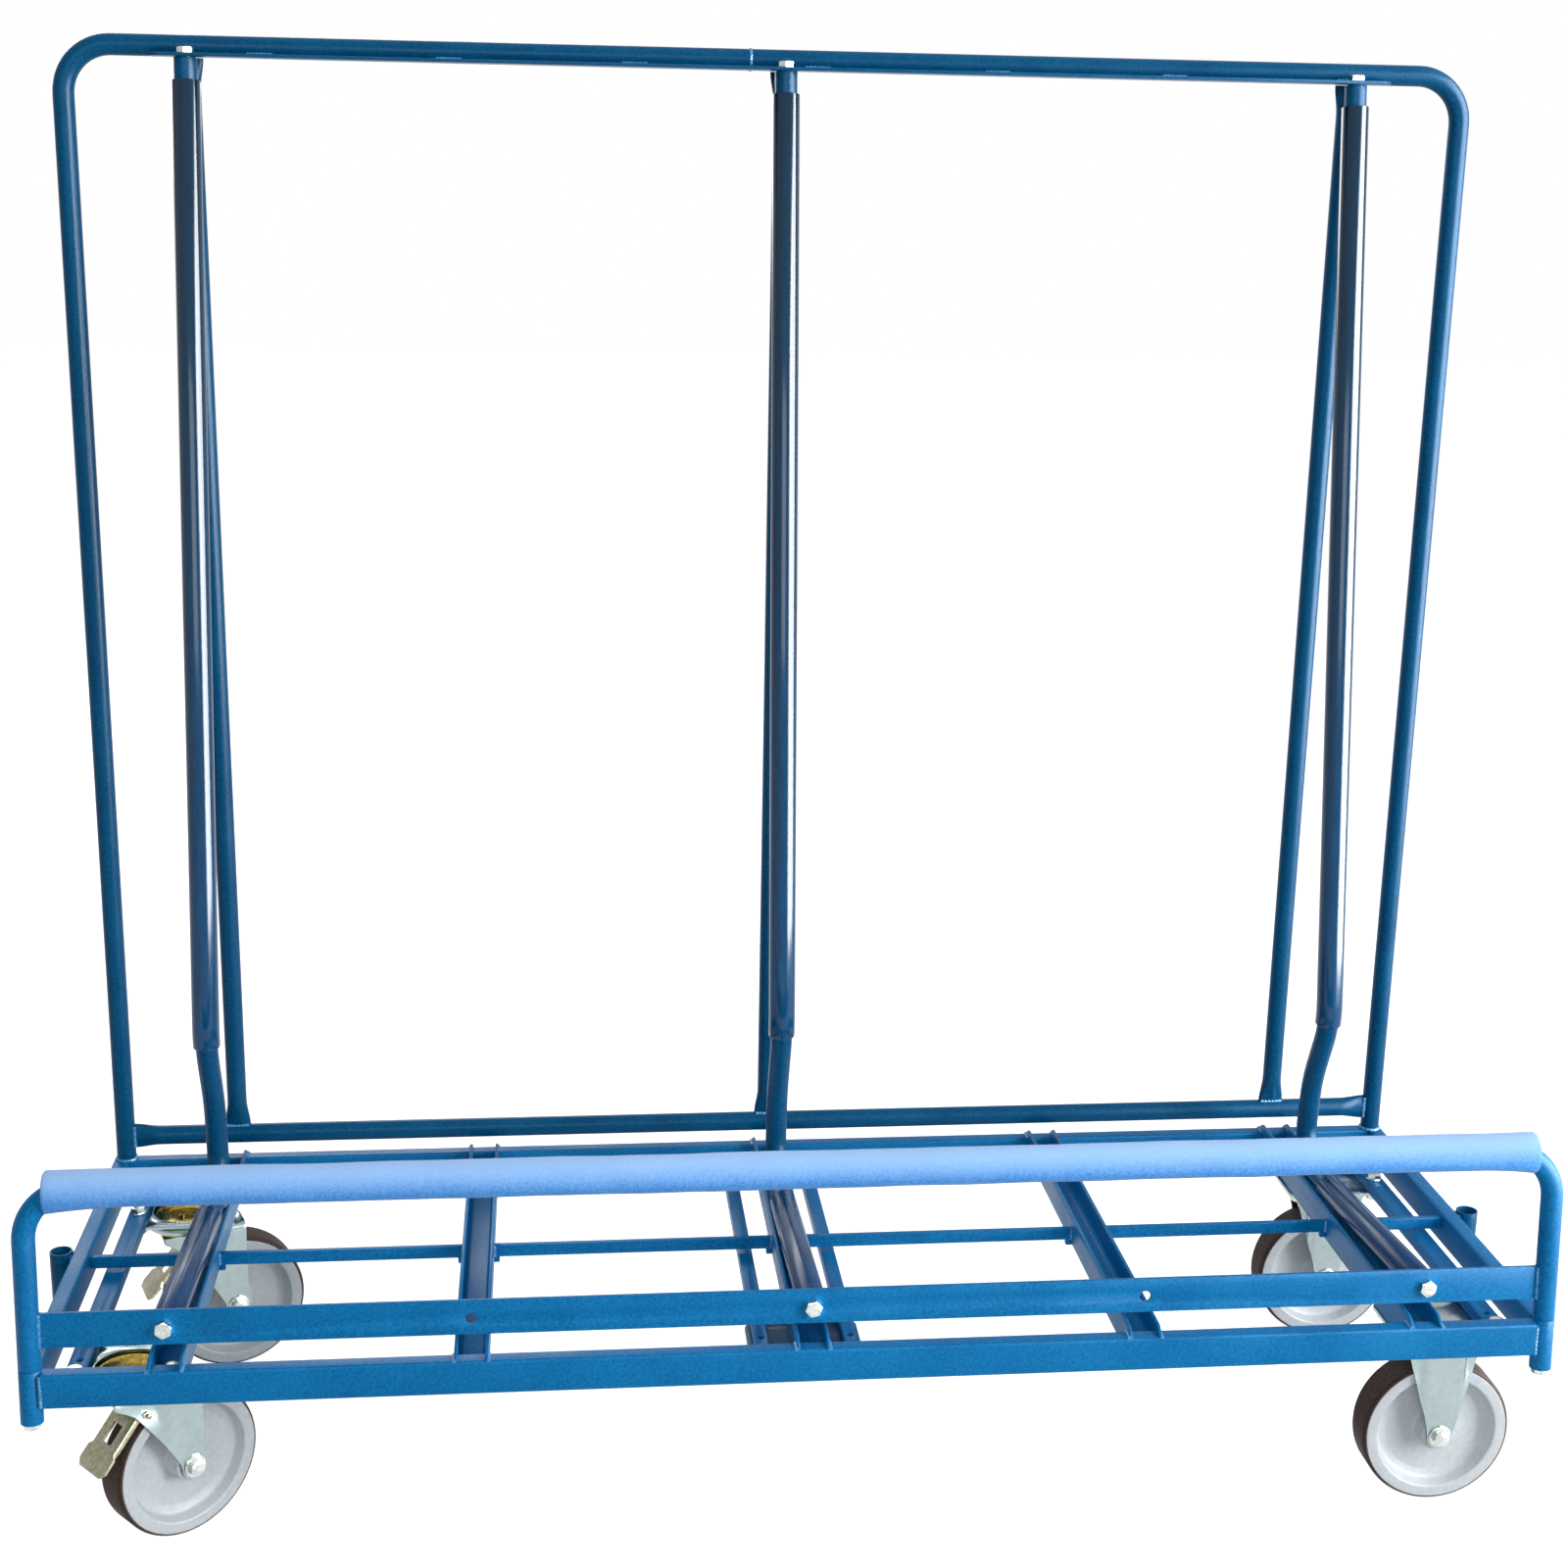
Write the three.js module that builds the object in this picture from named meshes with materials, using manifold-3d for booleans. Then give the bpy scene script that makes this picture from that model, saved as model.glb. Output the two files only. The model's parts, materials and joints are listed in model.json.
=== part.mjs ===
// Sheet goods cart: a welded base on four casters, a low front hoop with a foam sleeve,
// and three bent lean bars in plastic sleeves that lead up to a tall rear hoop.
// Units are millimetres. X runs to the right, Y to the back, Z up from the floor.
import * as THREE from 'three';
import { mergeVertices } from 'three/addons/utils/BufferGeometryUtils.js';
import Module from 'manifold-3d';

const wasm = await Module();
wasm.setup();

// Fits shared by all pieces
const gap = 0.3;              // space left between faces that are welded, bolted or pushed together
const runningPlay = 0.1;      // radial play of a wheel on its axle

// Base frame, made of rectangular tube
const frameBottom = 225;
const railHeight = 40;
const railDepth = 20;
const railWall = 2;
const frameLength = 564;      // front rail centre to rear rail centre
const sideRailOuterX = 865.5;
const frameTop = frameBottom + railHeight;
const sideRailInnerX = sideRailOuterX - railDepth;
const frontRailBack = railDepth / 2;
const rearRailFront = frameLength - railDepth / 2;
const rearRailBack = frameLength + railDepth / 2;

// Cross channels, open upwards, coped over the front and rear rails
const channelWidth = 38;
const channelHeight = 35;
const channelWall = 4;
const channelBottom = 240;
const channelBevel = 15;       // how far the leg tops are cut back at each end
const outerChannelX = 711;
const innerChannelX = 380;
const channelXs = [-outerChannelX, -innerChannelX, 0, innerChannelX, outerChannelX];

// Middle rail and the bars that carry the casters
const midRailY = 290;
const midRailDepth = 8;
const midRailHeight = 15;
const midRailBottom = 244;
const midRailBridge = 3;      // what is left of the middle rail under a channel
const casterBarWidth = 23;
const middleBarWidth = 17;
const middleBarX = 51.5;
const barHoleY = 70;           // one hole near the front of each bar
const barHoleRadius = 4;
const casterX = 764;
const frontCasterY = 80;
const rearCasterY = 490;

// Front hoop, leaning back, plugged into two sockets
const hoopTubeRadius = 12.5;
const hoopTubeBore = 10;
const hoopPostX = 855;
const hoopLean = Math.atan(0.0815);
const hoopLeanZ = 220;        // height at which the leaning hoop stands over the front rail's centre
const hoopBend = 57;
const hoopTopZ = 470;
const socketBottomZ = 206;
const socketTopZ = 267;
const socketWall = 2;
const spigotDepth = 40;
const hoopRailBottomZ = 291;
const hoopRailHeight = 40;
const hoopRailThickness = 5;
const hoopBoltZ = 309.5;
const spareHoleRadius = 6.5;
const foamRadius = 21;
const foamHalfLength = 831;
const stakeSocketRadius = 13.5;
const stakeSocketBore = 11;

// Lean bars and their plastic sleeves
const leanTubeRadius = 13.45;
const leanTubeBore = 10.85;
const sleeveRadius = 16.5;
const leanFootX = 711;
const leanTopX = 703;
const leanLegLength = 432;
const leanKneePoint = [428, 395];
const leanHipPoint = [384, 488];
const leanFootBend = 50;
const leanKneeBend = 150;
const leanHipBend = 100;
const floorSleeveStart = 10;
const floorSleeveLength = 315;
const uprightSleeveBottomZ = 489;
const bareTubeLength = 27.4;   // lean bar left bare between its upright sleeve and the strip

// Rear hoop, its lower tube, three uprights and the bolting strip
const rearPostX = 849;
const rearTubeRadius = 12.5;
const rearTubeBore = 10;
const rearTopZ = 1670.5;
const rearBend = 57;
const lowerTubeZ = 297;
const uprightX = 703;
const stripDrop = 13.1;        // rear hoop's top centre line down to the strip's underside
const stripBottomZ = rearTopZ - stripDrop;
const stripThickness = 4;
const stripDepth = 36;
const stripBackY = frameLength - 9;
const stripFrontY = stripBackY - stripDepth;
const leanTopY = stripBackY - stripDepth / 2;
const stripHalfLength = 745;
const stripCorner = 12;

// Bolts, M10
const boltRadius = 5;
const boltHoleRadius = boltRadius + gap;
const headAcrossFlats = 17;
const headHeight = 7;
const boltReach = 30;

// Casters
const wheelRadius = 90;
const wheelHalfWidth = 22.5;
const wheelFacets = 28;
const plateLength = 132;
const plateWidth = 104;
const plateThickness = 5;
const plateCorner = 10;
const plateHoleSpacingX = 105;
const plateHoleSpacingY = 80;
const plateHoleRadius = 5.5;
const cheekInner = 28;
const cheekThickness = 4;
const forkTopHalfLength = 50;
const fixedForkEdge = [[50, 214], [41, 189], [34.5, 165], [27.7, 140], [21.6, 116]];  // half length, height
const forkEndRadius = 18;
const raceOuterRadius = 50;
const raceInnerRadius = 40;
const raceBottomZ = 208;
const crownBottomZ = 199;
const crownTopZ = 206;
const swivelTrail = 56;
const frontSwivelAngle = 40;
const rearSwivelAngle = 20;
const pedalPivot = [3, 173];
const pedalSlope = 47;
const pinRadius = 3;
const axleRadius = 6;
const axleAcrossFlats = 19;
const axleHeadHeight = 7.5;

// Colours and finishes
const blueRail = { color: 0x1273ad, roughness: 0.38, metalness: 0.1 };
const blueTube = { color: 0x12568a, roughness: 0.32, metalness: 0.1 };
const foamBlue = { color: 0x7fb0ee, roughness: 0.9, metalness: 0 };
const sleeveNavy = { color: 0x25335a, roughness: 0.22, metalness: 0 };
const zinc = { color: 0xb4b6b4, roughness: 0.35, metalness: 0.9 };
const darkPlate = { color: 0x1d4f74, roughness: 0.4, metalness: 0.1 };
const wheelGrey = { color: 0xc3c8ce, roughness: 0.5, metalness: 0 };
const pedalGrey = { color: 0x8a866f, roughness: 0.45, metalness: 0.7 };

const cart = new THREE.Group();
cart.name = 'sheet_goods_cart';

// Turns a three.js geometry into a closed body that can be cut and joined.
function solid(geometry) {
  geometry.deleteAttribute('normal');
  geometry.deleteAttribute('uv');
  const merged = mergeVertices(geometry, 1e-4);
  return new wasm.Manifold(new wasm.Mesh({
    numProp: 3,
    vertProperties: new Float32Array(merged.attributes.position.array),
    triVerts: new Uint32Array(merged.index.array),
  }));
}

// Adds a finished body to the cart as a named mesh with its own material.
function addPiece(name, body, finish) {
  const data = body.getMesh();
  const geometry = new THREE.BufferGeometry();
  geometry.setAttribute('position', new THREE.BufferAttribute(data.vertProperties, 3));
  geometry.setIndex(new THREE.BufferAttribute(data.triVerts, 1));
  const mesh = new THREE.Mesh(geometry, new THREE.MeshStandardMaterial(finish));
  mesh.name = name;
  cart.add(mesh);
}

function box(x, y, z) {
  const geometry = new THREE.BoxGeometry(x[1] - x[0], y[1] - y[0], z[1] - z[0]);
  geometry.translate((x[0] + x[1]) / 2, (y[0] + y[1]) / 2, (z[0] + z[1]) / 2);
  return solid(geometry);
}

function polygon(points) {
  return new THREE.Shape(points.map(([x, y]) => new THREE.Vector2(x, y)));
}

function roundedRectangle(halfX, halfY, corner) {
  const shape = new THREE.Shape();
  shape.absarc(halfX - corner, halfY - corner, corner, 0, Math.PI / 2);
  shape.absarc(corner - halfX, halfY - corner, corner, Math.PI / 2, Math.PI);
  shape.absarc(corner - halfX, corner - halfY, corner, Math.PI, Math.PI * 1.5);
  shape.absarc(halfX - corner, corner - halfY, corner, Math.PI * 1.5, Math.PI * 2);
  return shape;
}

function ring(outer, inner) {
  const shape = new THREE.Shape().absarc(0, 0, outer, 0, Math.PI * 2);
  if (inner > 0) {
    shape.holes.push(new THREE.Path().absarc(0, 0, inner, 0, Math.PI * 2, true));
  }
  return shape;
}

// A shape in X and Y, raised from z0 to z1.
function raised(shape, z0, z1, curveSegments = 4) {
  const geometry = new THREE.ExtrudeGeometry(shape, { depth: z1 - z0, bevelEnabled: false, curveSegments });
  geometry.translate(0, 0, z0);
  return solid(geometry);
}

// A shape in X and Z, running from y0 to y1.
function alongY(shape, y0, y1, curveSegments = 6) {
  const geometry = new THREE.ExtrudeGeometry(shape, { depth: y1 - y0, bevelEnabled: false, curveSegments });
  geometry.rotateX(Math.PI / 2);
  geometry.translate(0, y1, 0);
  return solid(geometry);
}

// A shape in Y and Z, running from x0 to x1.
function alongX(shape, x0, x1, curveSegments = 6) {
  const geometry = new THREE.ExtrudeGeometry(shape, { depth: x1 - x0, bevelEnabled: false, curveSegments });
  geometry.applyMatrix4(new THREE.Matrix4().set(0, 0, 1, 0, 1, 0, 0, 0, 0, 1, 0, 0, 0, 0, 0, 1));
  geometry.translate(x0, 0, 0);
  return solid(geometry);
}

function rod(radius, z0, z1, sides = 16) {
  const geometry = new THREE.CylinderGeometry(radius, radius, z1 - z0, sides);
  geometry.rotateX(Math.PI / 2);
  geometry.translate(0, 0, (z0 + z1) / 2);
  return solid(geometry);
}

function crossRod(radius, y0, y1, sides = 16) {
  const geometry = new THREE.CylinderGeometry(radius, radius, y1 - y0, sides);
  geometry.translate(0, (y0 + y1) / 2, 0);
  return solid(geometry);
}

// A path through corner points whose corners are rounded: a list of points with their directions.
function roundedPath(points, bends, stepsPerBend) {
  const corners = points.map((p) => new THREE.Vector3(...p));
  const direction = (i) => corners[i + 1].clone().sub(corners[i]).normalize();
  const stations = [{ at: corners[0], way: direction(0) }];
  for (let i = 1; i < corners.length - 1; i += 1) {
    const before = direction(i - 1);
    const after = direction(i);
    const turn = before.angleTo(after);
    const reach = bends[i - 1] * Math.tan(turn / 2);
    const start = corners[i].clone().addScaledVector(before, -reach);
    const side = after.clone().addScaledVector(before, -after.dot(before)).normalize();
    const centre = start.clone().addScaledVector(side, bends[i - 1]);
    for (let k = 0; k <= stepsPerBend[i - 1]; k += 1) {
      const angle = (turn * k) / stepsPerBend[i - 1];
      const at = centre.clone()
        .addScaledVector(before, bends[i - 1] * Math.sin(angle))
        .addScaledVector(side, -bends[i - 1] * Math.cos(angle));
      const way = before.clone().multiplyScalar(Math.cos(angle)).addScaledVector(side, Math.sin(angle));
      stations.push({ at, way });
    }
  }
  stations.push({ at: corners[corners.length - 1], way: direction(corners.length - 2) });
  return stations;
}

// The part of a path between two values that a measure of its points passes through.
function cutPath(stations, measure, low, high) {
  const kept = [];
  for (let i = 0; i < stations.length; i += 1) {
    const here = measure(stations[i].at);
    if (i > 0) {
      const last = measure(stations[i - 1].at);
      [low, high].forEach((limit) => {
        if ((last - limit) * (here - limit) < 0) {
          const share = (limit - last) / (here - last);
          const at = stations[i - 1].at.clone().lerp(stations[i].at, share);
          const way = stations[i].at.clone().sub(stations[i - 1].at).normalize();
          kept.push({ at, way });
        }
      });
    }
    if (here >= low && here <= high) {
      kept.push(stations[i]);
    }
  }
  return kept;
}

class StationCurve extends THREE.Curve {
  constructor(stations) {
    super();
    this.stations = stations;
  }

  getSpacedPoints() {
    return this.stations.map((s) => s.at);
  }

  getTangentAt(u) {
    return this.stations[Math.round(u * (this.stations.length - 1))].way.clone();
  }
}

// A round tube, or a bar when the bore is 0, along a list of stations.
function sweep(stations, radius, bore) {
  const geometry = new THREE.ExtrudeGeometry(ring(radius, bore), {
    steps: stations.length - 1,
    extrudePath: new StationCurve(stations),
    curveSegments: 6,
  });
  return solid(geometry);
}

// Front, rear and side rails
const halfRail = railDepth / 2;
const railCentreZ = frameBottom + railHeight / 2;

function hollowRectangle(halfA, halfB, wall, centreB) {
  const corners = (a, b) => [[-a, centreB - b], [a, centreB - b], [a, centreB + b], [-a, centreB + b]];
  const shape = polygon(corners(halfA, halfB));
  shape.holes.push(polygon(corners(halfA - wall, halfB - wall)));
  return shape;
}

const railSection = hollowRectangle(halfRail, railHeight / 2, railWall, railCentreZ);
const frontRailEnd = hoopPostX - hoopTubeRadius - gap;
addPiece('front_rail', alongX(railSection, -frontRailEnd, frontRailEnd), blueRail);
const rearRailEnd = sideRailInnerX - gap;
const rearRail = alongX(railSection, -rearRailEnd, rearRailEnd);
addPiece('rear_rail', rearRail.translate([0, frameLength, 0]), blueRail);

const leanSlope = Math.tan(hoopLean);
const socketBackY = hoopTubeRadius / Math.cos(hoopLean) + (frameTop - hoopLeanZ) * leanSlope;
[['left', -1], ['right', 1]].forEach(([side, sign]) => {
  const rail = alongY(railSection, socketBackY + gap, rearRailBack);
  addPiece(`${side}_side_rail`, rail.translate([sign * (sideRailOuterX - halfRail), 0, 0]), blueRail);
});

// Middle rail, cut out around each channel and joined by a thin bridge under it
const midRailYs = [midRailY - midRailDepth / 2, midRailY + midRailDepth / 2];
const bridgeBottom = channelBottom - gap - midRailBridge;
const bridgeHalf = channelWidth / 2 + gap + 2 * midRailBridge;
let midRail = box(
  [-sideRailInnerX + gap, sideRailInnerX - gap],
  midRailYs,
  [midRailBottom, midRailBottom + midRailHeight],
);
channelXs.forEach((x) => {
  const half = channelWidth / 2 + gap;
  const bridge = box([x - bridgeHalf, x + bridgeHalf], midRailYs, [bridgeBottom, midRailBottom + 1]);
  const notch = box([x - half, x + half], [0, frameLength], [channelBottom - gap, frameTop + 20]);
  midRail = midRail.add(bridge).subtract(notch);
});
addPiece('mid_rail', midRail, blueRail);

// Cross channels
const channelTop = channelBottom + channelHeight;
const channelSection = polygon([
  [-channelWidth / 2, channelBottom],
  [channelWidth / 2, channelBottom],
  [channelWidth / 2, channelTop],
  [channelWidth / 2 - channelWall, channelTop],
  [channelWidth / 2 - channelWall, channelBottom + channelWall * 2],
  [channelWidth / 2 - channelWall * 2, channelBottom + channelWall],
  [channelWall * 2 - channelWidth / 2, channelBottom + channelWall],
  [channelWall - channelWidth / 2, channelBottom + channelWall * 2],
  [channelWall - channelWidth / 2, channelTop],
  [-channelWidth / 2, channelTop],
]);
const channelFoot = frameTop + gap;
const frontBevel = polygon([
  [-halfRail - 50, channelFoot],
  [-halfRail, channelFoot],
  [channelBevel - halfRail, channelTop],
  [channelBevel - halfRail, channelTop + 50],
  [-halfRail - 50, channelTop + 50],
]);
channelXs.forEach((x, i) => {
  const cope = (y) => box([-channelWidth, channelWidth], y, [0, channelFoot]);
  const bevel = alongX(frontBevel, -channelWidth, channelWidth);
  const channel = alongY(channelSection, -halfRail, rearRailBack)
    .subtract(cope([-100, frontRailBack + gap]))
    .subtract(cope([rearRailFront - gap, rearRailBack + 100]))
    .subtract(bevel)
    .subtract(bevel.mirror([0, 1, 0]).translate([0, frameLength, 0]));
  addPiece(`cross_channel_${i + 1}`, channel.translate([x, 0, 0]), blueRail);
});

// Bars under the base, notched where the middle rail's bridges cross them
const barTop = channelBottom - gap;
const bars = [
  [-casterX - plateHoleSpacingX / 2, casterBarWidth], [-casterX + plateHoleSpacingX / 2, casterBarWidth],
  [-middleBarX, middleBarWidth], [middleBarX, middleBarWidth],
  [casterX - plateHoleSpacingX / 2, casterBarWidth], [casterX + plateHoleSpacingX / 2, casterBarWidth],
];
bars.forEach(([x, width], i) => {
  let bar = box(
    [x - width / 2, x + width / 2],
    [frontRailBack + gap, rearRailFront - gap],
    [frameBottom, barTop],
  );
  channelXs.forEach((channelX) => {
    bar = bar.subtract(box(
      [channelX - bridgeHalf - gap, channelX + bridgeHalf + gap],
      [midRailYs[0] - gap, midRailYs[1] + gap],
      [bridgeBottom - gap, frameTop],
    ));
  });
  bar = bar.subtract(rod(barHoleRadius, 0, frameTop).translate([x, barHoleY, 0]));
  addPiece(`caster_bar_${i + 1}`, bar, blueRail);
});

// Blank plate between the two middle bars
const plateTopZ = frameBottom - gap;
const plateShape = () => roundedRectangle(plateLength / 2, plateWidth / 2, plateCorner);
const drilledPlate = plateShape();
[[-1, -1], [1, -1], [1, 1], [-1, 1]].forEach(([i, j]) => {
  const hole = new THREE.Path();
  hole.absarc(i * plateHoleSpacingX / 2, j * plateHoleSpacingY / 2, plateHoleRadius, 0, Math.PI * 2, true);
  drilledPlate.holes.push(hole);
});
const centrePlate = raised(drilledPlate, plateTopZ - plateThickness, plateTopZ, 6);
addPiece('centre_plate', centrePlate.translate([0, frontCasterY, 0]), darkPlate);

// Front hoop in its own upright plane, which is then leaned back
const alongLean = (z) => (z - hoopLeanZ) / Math.cos(hoopLean);
const leanDegrees = THREE.MathUtils.radToDeg(hoopLean);
const leanOver = (body) => body.rotate([-leanDegrees, 0, 0]).translate([0, 0, hoopLeanZ]);
const hoopTop = alongLean(hoopTopZ);
const hoopSeam = alongLean(socketTopZ) + gap;
const hoopPath = roundedPath(
  [[-hoopPostX, 0, hoopSeam], [-hoopPostX, 0, hoopTop], [hoopPostX, 0, hoopTop], [hoopPostX, 0, hoopSeam]],
  [hoopBend, hoopBend],
  [7, 7],
);
const hoopBoltHeight = alongLean(hoopBoltZ);
let hoop = sweep(hoopPath, hoopTubeRadius, hoopTubeBore);
let hoopRail = box(
  [-hoopPostX + hoopTubeRadius - 1, hoopPostX - hoopTubeRadius + 1],
  [-hoopRailThickness / 2, hoopRailThickness / 2],
  [alongLean(hoopRailBottomZ), alongLean(hoopRailBottomZ) + hoopRailHeight],
);
channelXs.forEach((x) => {
  const radius = Math.abs(x) === innerChannelX ? spareHoleRadius : boltHoleRadius;
  hoopRail = hoopRail.subtract(crossRod(radius, -10, 10).translate([x, 0, hoopBoltHeight]));
});
hoop = hoop.add(hoopRail);
const socketBore = hoopTubeRadius - socketWall;
const spigotRadius = socketBore - gap;
[-hoopPostX, hoopPostX].forEach((x) => {
  const section = ring(spigotRadius, spigotRadius - socketWall);
  const spigot = raised(section, hoopSeam - spigotDepth, hoopSeam + 15, 6);
  hoop = hoop.add(spigot.translate([x, 0, 0]));
});
addPiece('front_hoop', leanOver(hoop), blueTube);

const foamCylinder = alongX(ring(foamRadius, 0), -foamHalfLength, foamHalfLength, 10);
const foamBore = sweep(hoopPath, hoopTubeRadius + gap, 0);
addPiece('foam_sleeve', leanOver(foamCylinder.translate([0, 0, hoopTop]).subtract(foamBore)), foamBlue);

[['left', -1], ['right', 1]].forEach(([side, sign]) => {
  const front = raised(ring(hoopTubeRadius, socketBore), alongLean(socketBottomZ), alongLean(socketTopZ), 6);
  addPiece(`front_socket_${side}`, leanOver(front.translate([sign * hoopPostX, 0, 0])), blueTube);
  const stake = raised(ring(stakeSocketRadius, stakeSocketBore), socketBottomZ, socketTopZ, 8);
  const stakeX = sideRailOuterX + stakeSocketRadius + gap;
  addPiece(`stake_socket_${side}`, stake.translate([sign * stakeX, midRailY, 0]), blueTube);
});

// A bolt along Z with its head resting at z = 0 and its shank pointing down
function makeBolt() {
  const corner = headAcrossFlats / 2 / Math.cos(Math.PI / 6);
  return rod(corner, 0, headHeight, 6).add(rod(boltRadius, -boltReach, 0.1, 16));
}

const leanXs = [-leanFootX, 0, leanFootX];
leanXs.forEach((x, i) => {
  const bolt = makeBolt().rotate([90, 0, 0]).translate([x, -hoopRailThickness / 2 - gap, hoopBoltHeight]);
  addPiece(`front_bolt_${i + 1}`, leanOver(bolt), zinc);
});

// Lean bars: a leg over a channel, a sharp bend at the back, then a long upright
const legStartOut = hoopRailThickness / 2 + gap;
const legStart = [
  legStartOut * Math.cos(hoopLean) + hoopBoltHeight * Math.sin(hoopLean),
  hoopLeanZ - legStartOut * Math.sin(hoopLean) + hoopBoltHeight * Math.cos(hoopLean),
];
const legCorner = [
  legStart[0] + leanLegLength * Math.cos(hoopLean),
  legStart[1] - leanLegLength * Math.sin(hoopLean),
];
const topTilt = Math.atan((leanTopY - leanHipPoint[0]) / (stripBottomZ - leanHipPoint[1]));
const leanTopZ = stripBottomZ - gap - leanTubeRadius * Math.sin(topTilt);
leanXs.forEach((x, i) => {
  const topX = Math.sign(x) * leanTopX;
  const path = roundedPath(
    [...[legStart, legCorner, leanKneePoint, leanHipPoint].map((p) => [x, ...p]), [topX, leanTopY, leanTopZ]],
    [leanFootBend, leanKneeBend, leanHipBend],
    [7, 2, 3],
  );
  addPiece(`lean_bar_${i + 1}`, sweep(path, leanTubeRadius, leanTubeBore), blueTube);
  const leg = path.slice(0, 2);
  const floorStart = legStart[0] + floorSleeveStart;
  const floorPath = cutPath(leg, (p) => p.y, floorStart, floorStart + floorSleeveLength);
  addPiece(`floor_sleeve_${i + 1}`, sweep(floorPath, sleeveRadius, leanTubeRadius + gap), sleeveNavy);
  const uprightPath = cutPath(path.slice(9), (p) => p.z, uprightSleeveBottomZ, stripBottomZ - bareTubeLength);
  addPiece(`upright_sleeve_${i + 1}`, sweep(uprightPath, sleeveRadius, leanTubeRadius + gap), sleeveNavy);
});

// Rear hoop with its lower tube, uprights and bolting strip
const rearFootZ = frameTop + gap;
const rearPath = roundedPath(
  [
    [-rearPostX, frameLength, rearFootZ], [-rearPostX, frameLength, rearTopZ],
    [rearPostX, frameLength, rearTopZ], [rearPostX, frameLength, rearFootZ],
  ],
  [rearBend, rearBend],
  [7, 7],
);
addPiece('rear_hoop', sweep(rearPath, rearTubeRadius, rearTubeBore), blueTube);
const lowerTubeEnd = rearPostX - rearTubeRadius - gap;
const lowerTube = alongX(ring(rearTubeRadius, rearTubeBore), -lowerTubeEnd, lowerTubeEnd);
addPiece('rear_lower_tube', lowerTube.translate([0, frameLength, lowerTubeZ]), blueTube);
[-uprightX, 0, uprightX].forEach((x, i) => {
  const foot = lowerTubeZ + rearTubeRadius + gap;
  const upright = raised(ring(rearTubeRadius, rearTubeBore), foot, stripBottomZ - gap, 6);
  addPiece(`rear_upright_${i + 1}`, upright.translate([x, frameLength, 0]), blueTube);
});
let strip = raised(
  polygon([
    [-stripHalfLength, stripBackY],
    [-stripHalfLength, stripFrontY + stripCorner],
    [-stripHalfLength + stripCorner, stripFrontY],
    [stripHalfLength - stripCorner, stripFrontY],
    [stripHalfLength, stripFrontY + stripCorner],
    [stripHalfLength, stripBackY],
  ]),
  stripBottomZ,
  stripBottomZ + stripThickness,
);
[-leanTopX, 0, leanTopX].forEach((x, i) => {
  strip = strip.subtract(rod(boltHoleRadius, 0, 2000).translate([x, leanTopY, 0]));
  const bolt = makeBolt().translate([x, leanTopY, stripBottomZ + stripThickness + gap]);
  addPiece(`top_bolt_${i + 1}`, bolt, zinc);
});
addPiece('top_strip', strip, blueTube);

// Casters, each first built with its swivel or plate centre on the Z axis and its axle along Y
const cheekOuter = cheekInner + cheekThickness;

function makeWheel() {
  const tread = wheelRadius / Math.cos(Math.PI / wheelFacets);
  const bore = axleRadius + runningPlay;
  const hub = cheekInner - gap;
  const face = wheelHalfWidth;
  const half = [[bore, hub], [20, hub], [22, 13], [61, 13], [68, face], [86, face], [tread, 18]];
  const profile = [...half.map(([r, y]) => [r, -y]), ...half.slice().reverse(), [bore, -hub]];
  const geometry = new THREE.LatheGeometry(profile.map(([r, y]) => new THREE.Vector2(r, y)), wheelFacets);
  geometry.rotateY(Math.PI / wheelFacets);
  return solid(geometry);
}

function makeAxle() {
  const corner = axleAcrossFlats / 2 / Math.cos(Math.PI / 6);
  const seat = cheekOuter + gap;
  const end = seat + axleHeadHeight;
  return crossRod(axleRadius, -end, end, wheelFacets)
    .add(crossRod(corner, -end, -seat, 6))
    .add(crossRod(corner, seat, end, 6));
}

function forkCheeks(shape, axleX) {
  const hole = crossRod(axleRadius + gap, -50, 50).translate([axleX, 0, wheelRadius]);
  return alongY(shape, -cheekOuter, -cheekInner).add(alongY(shape, cheekInner, cheekOuter)).subtract(hole);
}

const plateBottomZ = plateTopZ - plateThickness;
[['front_right', frontCasterY], ['rear_right', rearCasterY]].forEach(([name, y]) => {
  const leftEdge = fixedForkEdge.map(([x, z]) => [-x, z]);
  const cheek = polygon([[-forkTopHalfLength, plateBottomZ - 1], ...leftEdge]);
  cheek.absarc(0, wheelRadius, forkEndRadius, Math.PI, Math.PI * 2);
  fixedForkEdge.slice().reverse().forEach(([x, z]) => cheek.lineTo(x, z));
  cheek.lineTo(forkTopHalfLength, plateBottomZ - 1);
  const web = box(
    [-forkTopHalfLength, forkTopHalfLength],
    [-cheekOuter, cheekOuter],
    [plateBottomZ - plateThickness, plateBottomZ + 0.1],
  );
  const fork = raised(plateShape(), plateBottomZ, plateTopZ).add(web).add(forkCheeks(cheek, 0));
  const place = (body) => body.translate([casterX, y, 0]);
  addPiece(`${name}_fork`, place(fork), zinc);
  addPiece(`${name}_wheel`, place(makeWheel().translate([0, 0, wheelRadius])), wheelGrey);
  addPiece(`${name}_axle`, place(makeAxle().translate([0, 0, wheelRadius])), zinc);
});

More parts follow.
